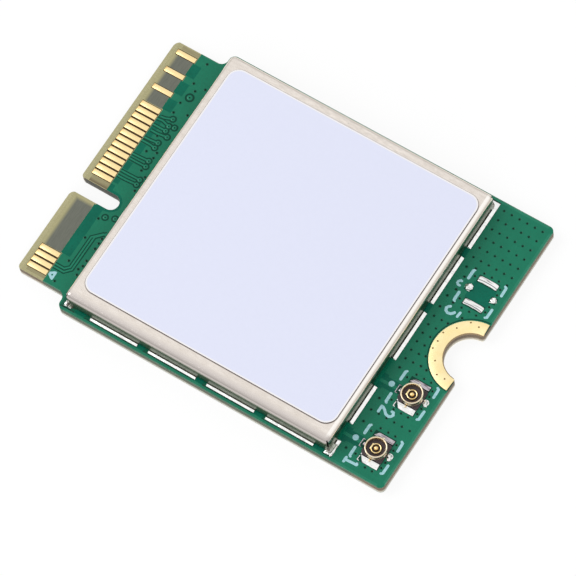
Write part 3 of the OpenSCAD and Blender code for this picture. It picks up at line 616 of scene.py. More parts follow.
# Contacts: copper plated with nickel and gold, slightly round at their corners, with a fine
# grain along their length and a warmer tone towards the plug edge, where they were plated.
def build_contacts():
    shader = Shader("contact_gold", rough=0.34, metal=1.0)
    grain = shader.noise(5, stretch=(0.5, 9, 1), detail=4)
    gold = shader.mix(shader.ramp(grain, 0.3, 0.7), tint(254, 233, 180), tint(249, 220, 156))
    edge = shader.ramp(shader.axis("X"), -14.50, -14.26, 1.0, 0.0)
    shader.colour(shader.mix(edge, gold, tint(246, 202, 132)))
    shader.roughness(shader.ramp(grain, 0, 1, 0.28, 0.44))
    shader.bump(grain, 0.004)
    rows = {"edge_contacts_top": (0.77, [1, 3, 5, 7] + list(range(33, 58, 2)) + [63, 69, 75]),
            "edge_contacts_bottom": (0.0, list(range(2, 23, 2)) + list(range(32, 75, 2)))}
    for name, (z, numbers) in rows.items():
        bm = bmesh.new()
        for n in numbers:
            box(bm, -13.69, (n - 38) * 0.25, z, 1.54, 0.37, 0.03, bevel=0.014, steps=2)
        piece(name + "_plated", bm, shader, replaces=(name,), smooth=50)


build_contacts()


# Gold lands around the half-round notch: the same plating on a wide copper ring that the
# screw head presses on, with the faint dots of the holes that tie it to the inner copper.
def build_notch_lands():
    shader = Shader("notch_gold", rough=0.42, metal=1.0)
    speck = shader.noise(16, detail=4)
    cloud = shader.noise(1.2)
    shader.colour(shader.mix(shader.ramp(cloud, 0.3, 0.7), tint(255, 238, 188), tint(251, 229, 170)))
    shader.roughness(shader.ramp(speck, 0, 1, 0.34, 0.52))
    shader.bump(speck, 0.006)
    finish_node("screw_notch_land_bottom", shader)

    inner, outer, height = 1.83, 2.80, 0.0295
    bm = bmesh.new()
    ribbon(bm, [(15 - (inner + outer) / 2 * math.sin(t), 0.03 + (inner + outer) / 2 * math.cos(t))
                for t in (0.036 + 0.0512 * i for i in range(61))], outer - inner, BARE, height)
    rim = [e for e in bm.edges if all(v.co.z > BARE + height / 2 for v in e.verts)
           and any(abs(f.normal.z) < 0.5 for f in e.link_faces)]
    bmesh.ops.bevel(bm, geom=rim, offset=0.022, segments=2, profile=0.5, affect="EDGES",
                    material=-1, clamp_overlap=True)
    piece("screw_notch_plating", bm, shader, replaces=("screw_notch_land_top",),
          smooth=30)

    dot = Shader("notch_land_dot", rough=0.5)
    dot.colour(dot.mix(dot.noise(9), tint(146, 112, 54), tint(112, 84, 38)))
    dot.bump(dot.noise(30), 0.003)
    bm = bmesh.new()
    for x, y in ((13.7, 2.27), (14.34, 2.26), (13.1, 1.45), (12.49, 0.71), (12.5, 0.0),
                 (12.49, -0.6), (13.1, -1.3), (13.74, -2.1), (14.35, -2.1)):
        rod(bm, x, y, TOP - 0.001, 0.065, 0.0015, sides=14)
    piece("notch_land_dots", bm, dot)


build_notch_lands()


# Tinned lands: bare copper dipped in solder, flat and bright, with small ripples and streaks.
def drop(bm, x, y, z, length, width, height, seed=0, lump=0.12):
    """A solder drop: a flattened ball whose underside is cut flat and whose top is uneven."""
    verts = bmesh.ops.create_icosphere(
        bm, subdivisions=3, radius=1, matrix=Matrix.Translation((x, y, z)))["verts"]
    for v in verts:
        place = v.co - Vector((x, y, z))
        swell = 1 + lump * noise.noise(place * 1.7 + Vector((seed, seed * 2, 0)))
        v.co = Vector((x + place.x * length / 2 * swell, y + place.y * width / 2 * swell,
                       z + max(place.z, 0) * height * swell))


def tinned(name, rough=0.16, dull=0.5, bright=(250, 250, 248), deep=(112, 106, 104),
           ripple=(0.5, 2.2, 1), start=0.56):
    shader = Shader(name, rough=rough, metal=1.0)
    cloud = shader.noise(2.6, detail=4)
    streak = shader.noise(5, stretch=ripple, detail=4)
    softer = tuple(int(0.94 * value) for value in bright)
    face = shader.mix(shader.ramp(cloud, 0.3, 0.7), tint(*bright), tint(*softer))
    shader.colour(shader.mix(shader.ramp(streak, start, start + 0.14, 0, dull), face, tint(*deep)))
    shader.roughness(shader.ramp(streak, 0, 1, rough - 0.06, rough + 0.14))
    shader.bump(cloud, 0.02)
    shader.bump(streak, 0.008)
    return shader


def build_tinned_lands():
    land = tinned("tinned_land")
    finish_node("antenna_lands", land)

    # Strips that the shield's feet stand on, open below each gap and doorway of the walls.
    bm = bmesh.new()
    long_runs = ((-8.49, -4.70), (-3.80, -0.01), (0.89, 4.68), (5.58, 9.37), (10.28, 10.80))
    for side, first in ((1, (-10.72, -9.72)), (-1, (-10.66, -10.10))):
        for x0, x1 in (first,) + long_runs:
            box(bm, (x0 + x1) / 2, side * 10.43, BARE, x1 - x0, 0.54, 0.031, bevel=0.01)
    for side, runs in ((1, ((6.84, 10.70), (2.11, 6.06), (-2.62, 1.33), (-8.02, -4.92),
                            (-10.70, -9.42))),
                       (-1, ((6.84, 10.70), (2.11, 6.06), (-2.62, 1.33), (-7.35, -3.40),
                             (-9.90, -8.13)))):
        for y0, y1 in runs:
            box(bm, side * 10.53, (y0 + y1) / 2, BARE, 0.60, y1 - y0, 0.032, bevel=0.01)
    piece("shield_land_strips", bm, land, replaces=("shield_lands",), smooth=50)

    # The unused third place keeps its cushions of solder, drawn in along their long sides.
    streaky = tinned("solder_cushion", rough=0.12, dull=0.7, deep=(92, 84, 88),
                     ripple=(0.28, 2.6, 1), start=0.53)
    # A dark bowed line is painted along each cushion as a reflection in the solder.
    along = streaky.math("DIVIDE", streaky.math("SUBTRACT", streaky.axis("X"), PLACE_X), 0.775)
    bowed = streaky.math("MULTIPLY", streaky.math("MULTIPLY", along, along), 0.07)
    off = [streaky.math("ABSOLUTE", streaky.math("SUBTRACT", streaky.math(
        "ADD", streaky.axis("Y"), bowed), PLACES["3"] + middle)) for middle in (0.90, -1.06)]
    painted_reflection_line = streaky.ramp(streaky.math("MINIMUM", *off), 0.015, 0.045, 0.85, 0.0)
    under = streaky.bsdf.inputs["Base Color"].links[0].from_socket
    streaky.colour(streaky.mix(painted_reflection_line, under, tint(84, 78, 86)))
    bm = bmesh.new()
    for sign in (-1, 1):
        y = PLACES["3"] + sign * 0.95
        verts = bmesh.ops.create_icosphere(bm, subdivisions=4, radius=1)["verts"]
        for v in verts:
            u, w = (math.copysign(min(1, abs(c) ** 0.34), c) for c in (v.co.x, v.co.y))
            bow = 0.05 * (0.5 - u * u)
            v.co = Vector((PLACE_X + 0.775 * u, y + 0.262 * w * (0.88 + 0.12 * u * u) + bow,
                           TOP + max(v.co.z, 0) * (0.085 + 0.03 * u * u) * (1 - 0.25 * w)))
    drop(bm, PLACE_X - 0.95, PLACES["3"] + 0.02, TOP, 0.52, 0.54, 0.19, seed=4, lump=0.55)
    drop(bm, PLACE_X + 0.97, PLACES["3"] + 0.02, TOP, 0.46, 0.44, 0.17, seed=9, lump=0.45)
    piece("spare_place_solder", bm, streaky, smooth=60)


build_tinned_lands()


# White print: screen-printed ink, a little thin at its edges so that the green tints it.
def build_print():
    shader = Shader("white_ink", rough=0.6, specular=0.2)
    patch = shader.noise(5, detail=4)
    shader.colour(shader.mix(shader.ramp(patch, 0.35, 0.8), tint(176, 218, 226), tint(140, 196, 200)))
    shader.bump(patch, 0.006)
    strokes, hooks = [], []
    for y in PLACES.values():
        for side in (-1, 1):
            strokes += [([(11.84, y + side * 0.50), (11.85, y + side * 1.34)], 0.215),
                        ([(14.44, y + side * 0.50), (14.42, y + side * 1.34)], 0.20)]
            hooks += [([(11.78, y + side * 1.22), (11.99, y + side * 1.36)], 0.17),
                      ([(14.47, y + side * 1.22), (14.24, y + side * 1.36)], 0.17)]
    strokes += hooks + [
        ([(11.80, -5.80), (11.79, -6.44)], 0.20),
        ([(11.82, -5.86), (12.10, -6.04), (12.32, -6.26), (12.56, -6.32), (12.72, -6.24),
          (12.80, -6.08), (12.72, -5.92), (12.50, -5.90)], 0.19),
        ([(11.73, -10.12), (11.72, -10.64)], 0.20),
        ([(11.70, -10.38), (12.70, -10.34)], 0.19),
        ([(12.68, -10.36), (12.52, -10.18)], 0.16),
        ([(11.98, 2.64), (11.80, 2.52), (11.71, 2.36), (11.78, 2.18), (11.97, 2.08),
          (12.18, 2.12), (12.33, 2.26), (12.42, 2.42)], 0.20),
        ([(12.72, 2.60), (12.67, 2.08)], 0.19),
        ([(11.66, 4.53), (11.50, 4.56), (11.38, 4.44), (11.37, 4.30), (11.47, 4.20),
          (11.70, 4.19)], 0.17),
        ([(-12.80, -9.19), (-12.42, -8.92)], 0.18), ([(-12.80, -9.20), (-12.42, -9.46)], 0.18),
        ([(-12.42, -8.86), (-12.42, -9.54)], 0.17)]
    bm = bmesh.new()
    for i, (points, width) in enumerate(strokes):
        ribbon(bm, points, width, TOP + 0.001, 0.010 + 0.0002 * (i % 16), round_ends=True)
    for y in (-4.2, -8.7):
        rod(bm, 11.5, y, TOP, 0.22, 0.013, end=0.21, sides=32)
    piece("ink_marks", bm, shader, replaces=("white_print",))


build_print()


# Shield: one sheet of nickel silver, folded down on four sides and soldered by its feet. The
# sheet keeps the fine rolling grain along the card and a few pits, and light and shade are painted along its bends.
HALF_X, HALF_Y = 10.55, 10.5
FOLD, CORNER, SHEET = 0.35, 0.03, 0.2
PLATE_X, PLATE_Y = HALF_X - FOLD, HALF_Y - FOLD
LONG_GAPS = [(-8.94 + 4.69 * i, 0.45, 0.16) for i in range(5)]
NOTCH_GAPS = [(6.45, 0.39, 0.16), (1.72, 0.39, 0.16), (-3.77, 1.15, 0.5), (-8.72, 0.70, 0.5)]
PLUG_GAPS = [(6.45 - 4.73 * i, 0.39, 0.16) for i in range(4)]
LABEL_LOW, LABEL_HIGH = (Vector(corner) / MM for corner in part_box("label"))
LABEL_PLAN = ((LABEL_LOW.x + LABEL_HIGH.x) / 2, (LABEL_LOW.y + LABEL_HIGH.y) / 2,
              (LABEL_HIGH.x - LABEL_LOW.x) / 2, (LABEL_HIGH.y - LABEL_LOW.y) / 2, 0.9)


def build_shield():
    shader = Shader("shield_sheet", rough=0.16, metal=1.0)
    grain = shader.noise(4, stretch=(0.6, 1.8, 1.8), detail=5)
    cloud = shader.noise(1.6, detail=4)
    pits = shader.spots(1.9)
    face = shader.mix(shader.ramp(grain, 0.3, 0.7), tint(240, 232, 224), tint(224, 215, 206))
    face = shader.mix(shader.ramp(cloud, 0.35, 0.75, 0, 0.5), face, tint(218, 208, 198))
    face = shader.mix(shader.ramp(pits, 0.0, 0.10, 0.5, 0.0), face, tint(150, 142, 132))
    # A painted highlight runs along the plate's edge by the +X bend, and painted shade darkens the plate towards the
    # -Y bend.
    face = shader.mix(shader.ramp(shader.axis("X"), 10.12, 10.17), face, tint(255, 250, 244))
    face = shader.mix(shader.ramp(shader.axis("Y"), -9.85, -10.2), face, tint(211, 203, 198))
    # A thin painted shadow lies along the label's edge.
    past_label = shader.past_outline(*LABEL_PLAN)
    label_edge_shadow = shader.math("MULTIPLY", shader.ramp(past_label, -0.03, -0.01),
                         shader.ramp(past_label, 0.045, 0.075, 1.0, 0.0))
    face = shader.mix(shader.math("MULTIPLY", label_edge_shadow, 0.75), face, tint(128, 118, 114))
    # The bend is painted a little darker as shade, most of all along the longer side by the sockets, and the wall
    # carries a painted reflection of the green board, darker high up and paler towards its feet.
    height = shader.axis("Z")
    bend = shader.mix(shader.ramp(height, 2.285, 2.19), face, tint(224, 213, 200))
    bend_shade = shader.math("MULTIPLY", shader.ramp(height, 2.299, 2.275),
                         shader.ramp(shader.axis("Y"), -9.9, -10.15))
    bend = shader.mix(bend_shade, bend, tint(197, 189, 184))
    wall_reflection = shader.mix(shader.ramp(height, 1.62, 1.42), tint(106, 113, 88), tint(142, 150, 132))
    shader.colour(shader.mix(shader.ramp(height, 2.06, 1.80), bend, wall_reflection))
    grained = shader.ramp(grain, 0.2, 0.8, 0.12, 0.22)
    shader.roughness(shader.math("ADD", grained, shader.ramp(height, 2.10, 1.85, 0.0, 0.13)))
    shader.bump(grain, 0.003)
    shader.bump(cloud, 0.010)

    top = TOP + 1.5
    bm = bmesh.new()
    verts = bmesh.ops.create_grid(
        bm, x_segments=1, y_segments=1, size=1,
        matrix=Matrix.Translation((0, 0, top)) @ Matrix.Diagonal((PLATE_X, PLATE_Y, 1, 1)))["verts"]
    bmesh.ops.bevel(bm, geom=verts, offset=CORNER, offset_type="OFFSET", segments=5, profile=0.5,
                    affect="VERTICES", material=-1)
    long_edges = [e for e in bm.edges if e.calc_length() > 1]
    bmesh.ops.subdivide_edges(bm, edges=long_edges, cuts=209)

    # Fold the rim over and draw the walls down, row by row.
    rows = [(FOLD * math.sin(a), top - FOLD * (1 - math.cos(a)))
            for a in (math.radians(15 * i) for i in range(1, 7))]
    rows += [(FOLD, z) for z in (1.60, TOP + 0.5, TOP + 0.16, TOP)]
    loop = [e for e in bm.edges if e.is_boundary]
    plan = {}
    for v in {v for e in loop for v in e.verts}:
        near = Vector((max(-PLATE_X + CORNER, min(PLATE_X - CORNER, v.co.x)),
                       max(-PLATE_Y + CORNER, min(PLATE_Y - CORNER, v.co.y)), v.co.z))
        plan[v] = (v.co.copy(), (v.co - near).normalized())
    for out, z in rows:
        made = bmesh.ops.extrude_edge_only(bm, edges=loop)["geom"]
        loop = [e for e in made if isinstance(e, bmesh.types.BMEdge) and e.is_boundary]
        fresh = {}
        for v in (v for v in made if isinstance(v, bmesh.types.BMVert)):
            old = next(e.other_vert(v) for e in v.link_edges if e.other_vert(v) in plan)
            start, away = plan[old]
            v.co = Vector((start.x + away.x * out, start.y + away.y * out, z))
            fresh[v] = (start, away)
        plan = fresh

    # Gaps, doorways and the open slit at each upright corner.
    def open_here(place):
        for along, across, half, gaps in ((place.x, place.y, HALF_Y, LONG_GAPS),
                                          (place.y, place.x, HALF_X, NOTCH_GAPS),
                                          (place.y, -place.x, HALF_X, PLUG_GAPS)):
            if (abs(across) if gaps is LONG_GAPS else across) > half - 0.05:
                for middle, reach, height in gaps:
                    if abs(along - middle) < reach and place.z < TOP + height:
                        return True
        turn = math.degrees(math.atan2(abs(place.y) - PLATE_Y + CORNER,
                                       abs(place.x) - PLATE_X + CORNER))
        return place.z < TOP + 1.38 and abs(turn - 45) < 7
    bmesh.ops.delete(bm, geom=[f for f in bm.faces if open_here(f.calc_center_median())],
                     context="FACES")
    bmesh.ops.recalc_face_normals(bm, faces=bm.faces)
    if max(bm.faces, key=lambda f: f.calc_area()).normal.z < 0:
        bmesh.ops.reverse_faces(bm, faces=bm.faces)
    bmesh.ops.solidify(bm, geom=bm.faces, thickness=SHEET)
    piece("shield_folded_sheet", bm, shader, replaces=("shield_can",), smooth=35,
          outward=False)

    # Each slit is filled with a dark insert: painted shade for the inside of the closed can.
    dark = Shader("slit_painted_shade", rough=0.8, specular=0.05)
    dark.colour(dark.mix(dark.noise(6), tint(20, 18, 16), tint(10, 9, 8)))
    dark.bump(dark.noise(12), 0.004)
    bm = bmesh.new()
    for sx in (-1, 1):
        for sy in (-1, 1):
            away = Vector((sx, sy, 0)).normalized()
            across = Vector((-away.y, away.x, 0)) * 0.056
            foot = Vector((sx * (PLATE_X - CORNER), sy * (PLATE_Y - CORNER), TOP))
            verts = [bm.verts.new(foot + away * out + Vector((0, 0, rise)) - across)
                     for out, rise in ((0.10, 0.42), (0.362, 0.42), (0.362, 1.15), (0.35, 1.235),
                                       (0.315, 1.315), (0.26, 1.385), (0.10, 1.385))]
            side = bm.faces.new(verts)
            made = bmesh.ops.extrude_face_region(bm, geom=[side], use_keep_orig=True)["geom"]
            bmesh.ops.translate(bm, vec=across * 2,
                                verts=[v for v in made if isinstance(v, bmesh.types.BMVert)])
    piece("shield_slit_painted_shade", bm, dark)


build_shield()


# Seam at the shield's feet: the solder has run up between strip and wall, and a dark thread of
# painted shadow lies where each foot stands. Each corner slit has a lump of solder in its mouth.
def build_shield_solder():
    foot_shadow = Shader("foot_shadow_seam", rough=0.45, specular=0.3)
    foot_shadow.colour(foot_shadow.mix(foot_shadow.noise(7), tint(98, 90, 76), tint(66, 68, 54)))
    foot_shadow.bump(foot_shadow.noise(12), 0.01)
    solder = tinned("shield_solder_metal", rough=0.12, dull=0.35, bright=(255, 255, 253))
    # The corner lumps take a grayer copy of the same solder: painted shade in the slits' mouths.
    grayer = tinned("corner_solder_metal", rough=0.2, dull=0.85, bright=(176, 168, 160),
                    deep=(74, 68, 64), start=0.46)
    rng = random.Random(5)
    seams, beads, corners = bmesh.new(), bmesh.new(), bmesh.new()

    def run(start, end, out_x, out_y, near, far):
        a, b = Vector(start), Vector(end)
        length = (b - a).length
        count = int(length / 0.22)
        seam = []
        for i in range(count + 1):
            point = a + (b - a) * i / count
            off = 0.022 + rng.uniform(-0.014, 0.014)
            seam.append((point.x + out_x * off, point.y + out_y * off))
        ribbon(seams, seam, 0.066, TOP, 0.045)
        middle = (a + b) / 2 + Vector((out_x, out_y)) * (near + far) / 2
        plan = (length, far - near) if out_y else (far - near, length)
        wedge = bmesh.ops.create_cube(
            beads, size=1, matrix=Matrix.Translation((middle.x, middle.y, TOP + 0.03))
            @ Matrix.Diagonal((plan[0], plan[1], 0.06, 1)))["verts"]
        long = [e for e in {e for v in wedge for e in v.link_edges} if e.calc_length() > length * 0.99]
        bmesh.ops.subdivide_edges(beads, edges=long, cuts=count)

    for side in (-1, 1):
        for x0, x1 in ((-8.49, -4.70), (-3.80, -0.01), (0.89, 4.68), (5.58, 9.37)):
            run((x0, side * HALF_Y), (x1, side * HALF_Y), 0, side, 0.055, 0.205)
    run((-10.2, HALF_Y), (-9.72, HALF_Y), 0, 1, 0.055, 0.205)
    for side, runs in ((1, ((6.86, 10.05), (2.13, 6.04), (-2.60, 1.31), (-8.00, -4.94),
                            (-9.80, -9.50))),
                       (-1, ((6.86, 10.10), (2.13, 6.04), (-2.60, 1.31), (-7.33, -3.42),
                             (-9.85, -8.15)))):
        for y0, y1 in runs:
            run((side * HALF_X, y0), (side * HALF_X, y1), side, 0, 0.065, 0.285)
    for v in beads.verts:
        if v.co.z > TOP + 0.03:
            over_y = abs(v.co.y) - HALF_Y
            off, far = (over_y, 0.205) if over_y > 0.02 else (abs(v.co.x) - HALF_X, 0.285)
            v.co.z = TOP + 0.036 + 0.42 * (far - off) * rng.uniform(0.75, 1.2)
    for sx in (-1, 1):
        for sy in (-1, 1):
            drop(corners, sx * 10.42, sy * 10.37, TOP, 0.24, 0.22, 0.46, seed=sx * 3 + sy, lump=0.35)
    drop(beads, 10.56, -10.60, TOP, 0.50, 0.20, 0.09, seed=11, lump=0.3)
    drop(beads, 10.74, -10.15, TOP, 0.20, 1.10, 0.09, seed=12, lump=0.3)
    drop(beads, -10.52, -10.62, TOP, 0.28, 0.11, 0.06, seed=13, lump=0.6)
    drop(beads, -10.22, -10.60, TOP, 0.26, 0.15, 0.08, seed=14, lump=0.6)
    drop(corners, -10.42, -10.50, TOP, 0.20, 0.16, 0.10, seed=17, lump=0.5)
    drop(seams, 10.66, -10.46, TOP, 0.09, 0.17, 0.10, seed=15)
    drop(seams, -10.04, -10.52, TOP, 0.16, 0.14, 0.05, seed=16)
    piece("shield_foot_shadow_seam", seams, foot_shadow, replaces=("shield_solder",))
    piece("shield_foot_solder", beads, solder, smooth=60)
    piece("shield_corner_solder", corners, grayer, smooth=60)


build_shield_solder()


# Label: coated paper, matt and slightly blue, cut with round corners. The coating stops just
# short of the cut, so a thin white border is left, and the cut sides are painted darker as shade.
def build_label():
    shader = Shader("label_paper", rough=0.72, specular=0.1)
    pulp = shader.noise(3.5, detail=5)
    face = shader.mix(shader.ramp(pulp, 0.3, 0.7), tint(229, 232, 251), tint(228, 231, 250))
    border = shader.ramp(shader.past_outline(*LABEL_PLAN), -0.125, -0.085)
    face = shader.mix(border, face, tint(246, 244, 246))
    shader.colour(shader.mix(shader.facing_up(), tint(120, 108, 104), face))
    shader.bump(pulp, 0.0015)
    finish_node("label", shader)


build_label()


# Antenna sockets: a dark moulded base, a drawn ring of gold-plated brass with a rolled lip, and
# a gold pin in a cup. The ring's two ground tabs and the pin's tails are covered in solder.
def solder_wedge(bm, corners, rises, seed):
    """Solder on a tab: a wedge with a streaky top; each corner has its own height."""
    foot = bm.faces.new([bm.verts.new((x, y, TOP)) for x, y in corners])
    made = bmesh.ops.extrude_face_region(bm, geom=[foot], use_keep_orig=True)["geom"]
    top = [v for v in made if isinstance(v, bmesh.types.BMVert)]
    for v in top:
        near = min(range(4), key=lambda i: (Vector(corners[i]) - v.co.xy).length)
        v.co.z = TOP + rises[near]
    edges = [e for e in {e for v in top for e in v.link_edges} if all(v in top for v in e.verts)]
    split = bmesh.ops.subdivide_edges(bm, edges=edges, cuts=9, use_grid_fill=True)["geom_inner"]
    for v in {v for f in split if isinstance(f, bmesh.types.BMFace) for v in f.verts}:
        ripple = noise.noise(Vector((v.co.x * 1.3, v.co.y * 11, seed)))
        v.co.z += 0.035 * ripple


def build_sockets():
    moulding = Shader("socket_moulding", rough=0.42, specular=0.35)
    grain = moulding.noise(9, detail=4)
    moulding.colour(moulding.mix(grain, tint(82, 70, 76), tint(44, 36, 40)))
    moulding.roughness(moulding.ramp(grain, 0, 1, 0.34, 0.56))
    moulding.bump(grain, 0.008)

    ring_metal = Shader("socket_ring_metal", rough=0.22, metal=1.0)
    turn = ring_metal.noise(5, stretch=(1, 1, 6), detail=4)
    ring_metal.colour(ring_metal.mix(ring_metal.ramp(turn, 0.3, 0.7), tint(246, 234, 210),
                                     tint(226, 208, 176)))
    ring_metal.roughness(ring_metal.ramp(turn, 0, 1, 0.16, 0.30))
    ring_metal.bump(turn, 0.004)

    pin_metal = Shader("socket_pin_gold", rough=0.16, metal=1.0)
    fine = pin_metal.noise(8, detail=3)
    pin_metal.colour(pin_metal.mix(pin_metal.ramp(fine, 0.35, 0.65), tint(252, 234, 184),
                                   tint(232, 200, 130)))
    pin_metal.roughness(pin_metal.ramp(fine, 0, 1, 0.12, 0.26))
    pin_metal.bump(fine, 0.010)

    bright = tinned("socket_solder_metal", rough=0.12, dull=0.8, deep=(96, 88, 88),
                    ripple=(0.35, 3.2, 1))
    # The far tabs take a grayer copy of the same solder as painted shade.
    grayer = tinned("far_tab_solder_metal", rough=0.16, dull=0.9, bright=(214, 206, 212),
                    deep=(84, 74, 82), ripple=(0.3, 3.4, 1), start=0.45)
    x = PLACE_X
    near_solder, far_solder = bmesh.new(), bmesh.new()
    for number in ("1", "2"):
        y = PLACES[number] - 0.06
        seed = int(number)
        name = "antenna_socket_" + number + "_"
        bm = bmesh.new()
        bmesh.ops.create_grid(
            bm, x_segments=1, y_segments=1, size=1,
            matrix=Matrix.Translation((x - 0.01, y, TOP)) @ Matrix.Diagonal((0.82, 0.76, 1, 1)))
        for side_x, side_y, size in ((-1, 1, 0.42), (-1, -1, 0.20), (1, 1, 0.09), (1, -1, 0.12)):
            chosen = [v for v in bm.verts if (v.co - Vector((x - 0.01 + 0.82 * side_x,
                                                             y + 0.76 * side_y, TOP))).length < 0.01]
            bmesh.ops.bevel(bm, geom=chosen, offset=size, offset_type="OFFSET", segments=1,
                            profile=0.5, affect="VERTICES", material=-1)
        raised = bmesh.ops.extrude_face_region(bm, geom=list(bm.faces), use_keep_orig=True)["geom"]
        top = [f for f in raised if isinstance(f, bmesh.types.BMFace)]
        bmesh.ops.translate(bm, vec=(0, 0, 0.15), verts=list({v for f in top for v in f.verts}))
        bmesh.ops.inset_region(bm, faces=top, thickness=0.03, depth=0.0)
        bmesh.ops.translate(bm, vec=(0, 0, 0.02), verts=list({v for f in top for v in f.verts}))
        lathe(bm, x, y, TOP + 0.13, [(0.0, 0.05), (0.40, 0.05), (0.43, 0.10), (0.64, 0.10),
                                     (0.65, 0.0), (0.0, 0.0)])
        piece(name + "moulding", bm, moulding, replaces=(name + "base",),
              smooth=35)

        bm = bmesh.new()
        lathe(bm, x, y, TOP, [(0.79, 0.15), (0.765, 0.22), (0.74, 0.28), (0.73, 0.38),
                              (0.73, 0.46), (0.755, 0.50), (0.775, 0.54), (0.772, 0.585),
                              (0.75, 0.612), (0.72, 0.62), (0.69, 0.612), (0.668, 0.585),
                              (0.655, 0.54), (0.645, 0.46), (0.645, 0.15), (0.79, 0.15)], steps=80)
        for side in (-1, 1):
            box(bm, x + 0.02, y + side * 0.90, TOP + 0.10, 0.15, 0.16, 0.10, bevel=0.03, steps=3)
        piece(name + "ring", bm, ring_metal, replaces=(name + "shell",), smooth=40)

        # The cup is a ring with one flat side, and the pin's round head stands inside it.
        bm = bmesh.new()
        lathe(bm, x, y, TOP + 0.15, [(0.275, 0.0), (0.372, 0.0), (0.378, 0.18), (0.36, 0.225),
                                     (0.33, 0.24), (0.295, 0.225), (0.275, 0.18), (0.275, 0.0)],
              steps=56)
        lathe(bm, x, y, TOP + 0.15, [(0.0, 0.0), (0.15, 0.0), (0.155, 0.20), (0.14, 0.27),
                                     (0.10, 0.315), (0.05, 0.337), (0.0, 0.342)], steps=40)
        box(bm, x - 0.325, y, TOP + 0.16, 0.12, 0.46, 0.235, bevel=0.035)
        piece(name + "pin", bm, pin_metal, replaces=(name + "contact",), smooth=40)

        solder_wedge(far_solder, [(x - 0.70, y + 0.82), (x + 0.76, y + 0.82),
                                  (x + 0.76, y + 1.17), (x - 0.45, y + 1.17)],
                     (0.17, 0.15, 0.05, 0.06), seed)
        solder_wedge(near_solder, [(x - 0.36, y - 1.22), (x + 0.78, y - 1.22),
                                   (x + 0.77, y - 0.82), (x - 0.66, y - 0.82)],
                     (0.045, 0.05, 0.16, 0.14), seed + 4)
        ribbon(near_solder, [(x - 0.74, y - 0.86), (x - 0.76, y - 1.20), (x - 0.62, y - 1.22)],
               0.05, TOP, 0.04)
        ribbon(far_solder, [(x - 1.03, y + 0.28), (x - 1.17, y + 0.28), (x - 1.18, y - 0.30),
                            (x - 1.03, y - 0.31)], 0.05, TOP, 0.035)
        box(far_solder, x - 0.92, y - 0.02, TOP, 0.20, 0.24, 0.08, bevel=0.03)
        drop(near_solder, x + 0.99, y + 0.06, TOP, 0.36, 0.34, 0.17, seed=seed + 5, lump=0.5)
        drop(near_solder, x + 1.06, y - 0.12, TOP, 0.34, 0.30, 0.13, seed=seed + 8, lump=0.5)
    piece("antenna_socket_solder", near_solder, bright, replaces=("socket_solder",),
          smooth=50)
    piece("antenna_socket_far_solder", far_solder, grayer, smooth=50)


build_sockets()


# Parts under the shield: moulded chips, a ceramic crystal with a metal lid, ferrite coils and
# rows of small ceramic capacitors and film resistors, each soldered by its metal ends.
def hidden_finish(name, light, dark, rough, metal=0.0, scale=8, depth=0.006):
    shader = Shader(name, rough=rough, metal=metal)
    grain = shader.noise(scale, detail=4)
    shader.colour(shader.mix(shader.ramp(grain, 0.3, 0.7), tint(*light), tint(*dark)))
    shader.roughness(shader.ramp(grain, 0, 1, max(rough - 0.08, 0.05), rough + 0.08))
    shader.bump(grain, depth)
    return shader


def build_hidden_parts():
    chip = hidden_finish("chip_moulding", (54, 55, 58), (40, 41, 44), 0.5, scale=14)
    for name in ("radio_chip", "power_chip", "memory_chip", "antenna_amplifiers"):
        finish_node(name, chip)
    leads = hidden_finish("lead_tin_plate", (212, 210, 204), (190, 188, 182), 0.3, metal=1.0)
    for name in ("radio_chip_leads", "power_chip_leads", "memory_chip_leads", "coil_ends",
                 "capacitor_ends", "resistor_ends"):
        finish_node(name, leads)
    finish_node("heat_pad", hidden_finish("heat_pad_rubber", (160, 180, 196), (142, 164, 182), 0.8, scale=4))
    finish_node("antenna_filters", hidden_finish("filter_ceramic", (216, 211, 194), (200, 194, 176), 0.4))
    finish_node("crystal_base", hidden_finish("crystal_ceramic", (140, 132, 120), (122, 114, 104), 0.5))
    finish_node("crystal_lid", hidden_finish("crystal_lid_metal", (206, 208, 212), (188, 190, 196), 0.25, metal=1.0))
    finish_node("coil_cores", hidden_finish("coil_ferrite", (84, 86, 90), (66, 68, 72), 0.6, scale=12))
    finish_node("capacitor_bodies", hidden_finish("capacitor_ceramic", (168, 142, 112), (150, 124, 96), 0.45))
    finish_node("resistor_bodies", hidden_finish("resistor_film", (42, 43, 46), (28, 29, 32), 0.4))


build_hidden_parts()


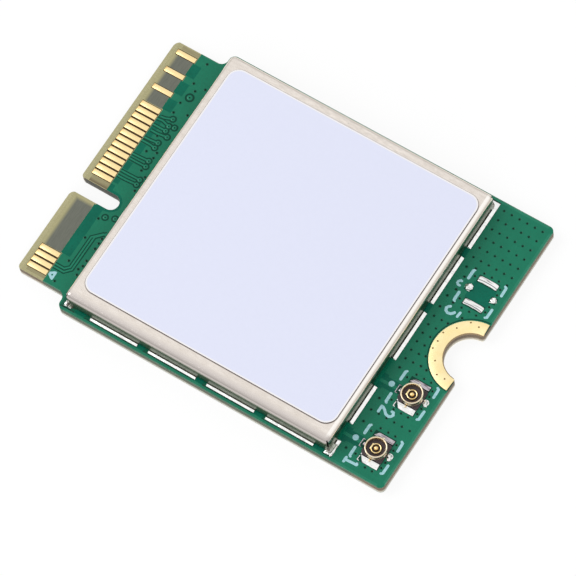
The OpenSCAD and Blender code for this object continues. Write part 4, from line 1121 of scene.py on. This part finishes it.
# Underside: flat lacquer with filled holes, round test lands and a few covered lines. Its face
# is set back by a hair so that the copper forms stay inside the card's own thickness.
def build_underside():
    shader = lacquer("lacquer_bottom", tint(12, 112, 84), tint(7, 104, 78))
    bm = bmesh.new()
    bm.from_mesh(nodes["green_lacquer_bottom"].data)
    bmesh.ops.remove_doubles(bm, verts=bm.verts, dist=1e-7)
    bmesh.ops.scale(bm, vec=(1000, 1000, 1000), verts=bm.verts)
    for v in bm.verts:
        if v.co.z < 0.01:
            v.co.z = 0.006
    piece("underside_lacquer", bm, shader, replaces=("green_lacquer_bottom",))

    rng = random.Random(7)
    light = lacquer("underside_copper", tint(18, 122, 93), tint(12, 114, 86), rough=0.24)
    bm = bmesh.new()
    for i in range(9):
        y = -8.2 + i * 1.9
        turn = rng.uniform(0.5, 1.5)
        end = rng.uniform(3, 9)
        ribbon(bm, [(-11.0, y), (-9.6, y), (-9.6 + turn, y + turn * 0.6), (end, y + turn * 0.6)],
               0.16, 0.003, 0.003)
    piece("underside_lines", bm, light)

    gold = Shader("test_land_gold", rough=0.36, metal=1.0)
    speck = gold.noise(12)
    gold.colour(gold.mix(speck, tint(252, 226, 160), tint(244, 212, 142)))
    gold.roughness(gold.ramp(speck, 0, 1, 0.3, 0.46))
    gold.bump(speck, 0.004)
    hole = Shader("underside_hole", rough=0.35)
    hole.colour(hole.mix(hole.noise(9), tint(12, 58, 42), tint(8, 44, 32)))
    hole.bump(hole.noise(30), 0.004)
    lands, holes = bmesh.new(), bmesh.new()
    for i in range(7):
        for j in range(2):
            rod(lands, -8.5 + i * 2.4, -6.6 + j * 13.6, 0.001, 0.42, 0.005, sides=32)
    for i in range(22):
        for j in range(4):
            rod(holes, -10.5 + i * 1.12, -9.9 + j * 0.62 + (17.9 if j > 1 else 0), 0.001, 0.1, 0.005, sides=14)
    for i in range(4):
        for j in range(14):
            rod(holes, 10.9 + i * 0.62, -4.7 + j * 0.72, 0.001, 0.1, 0.005, sides=14)
    piece("underside_test_lands", lands, gold)
    piece("underside_filled_holes", holes, hole)


build_underside()
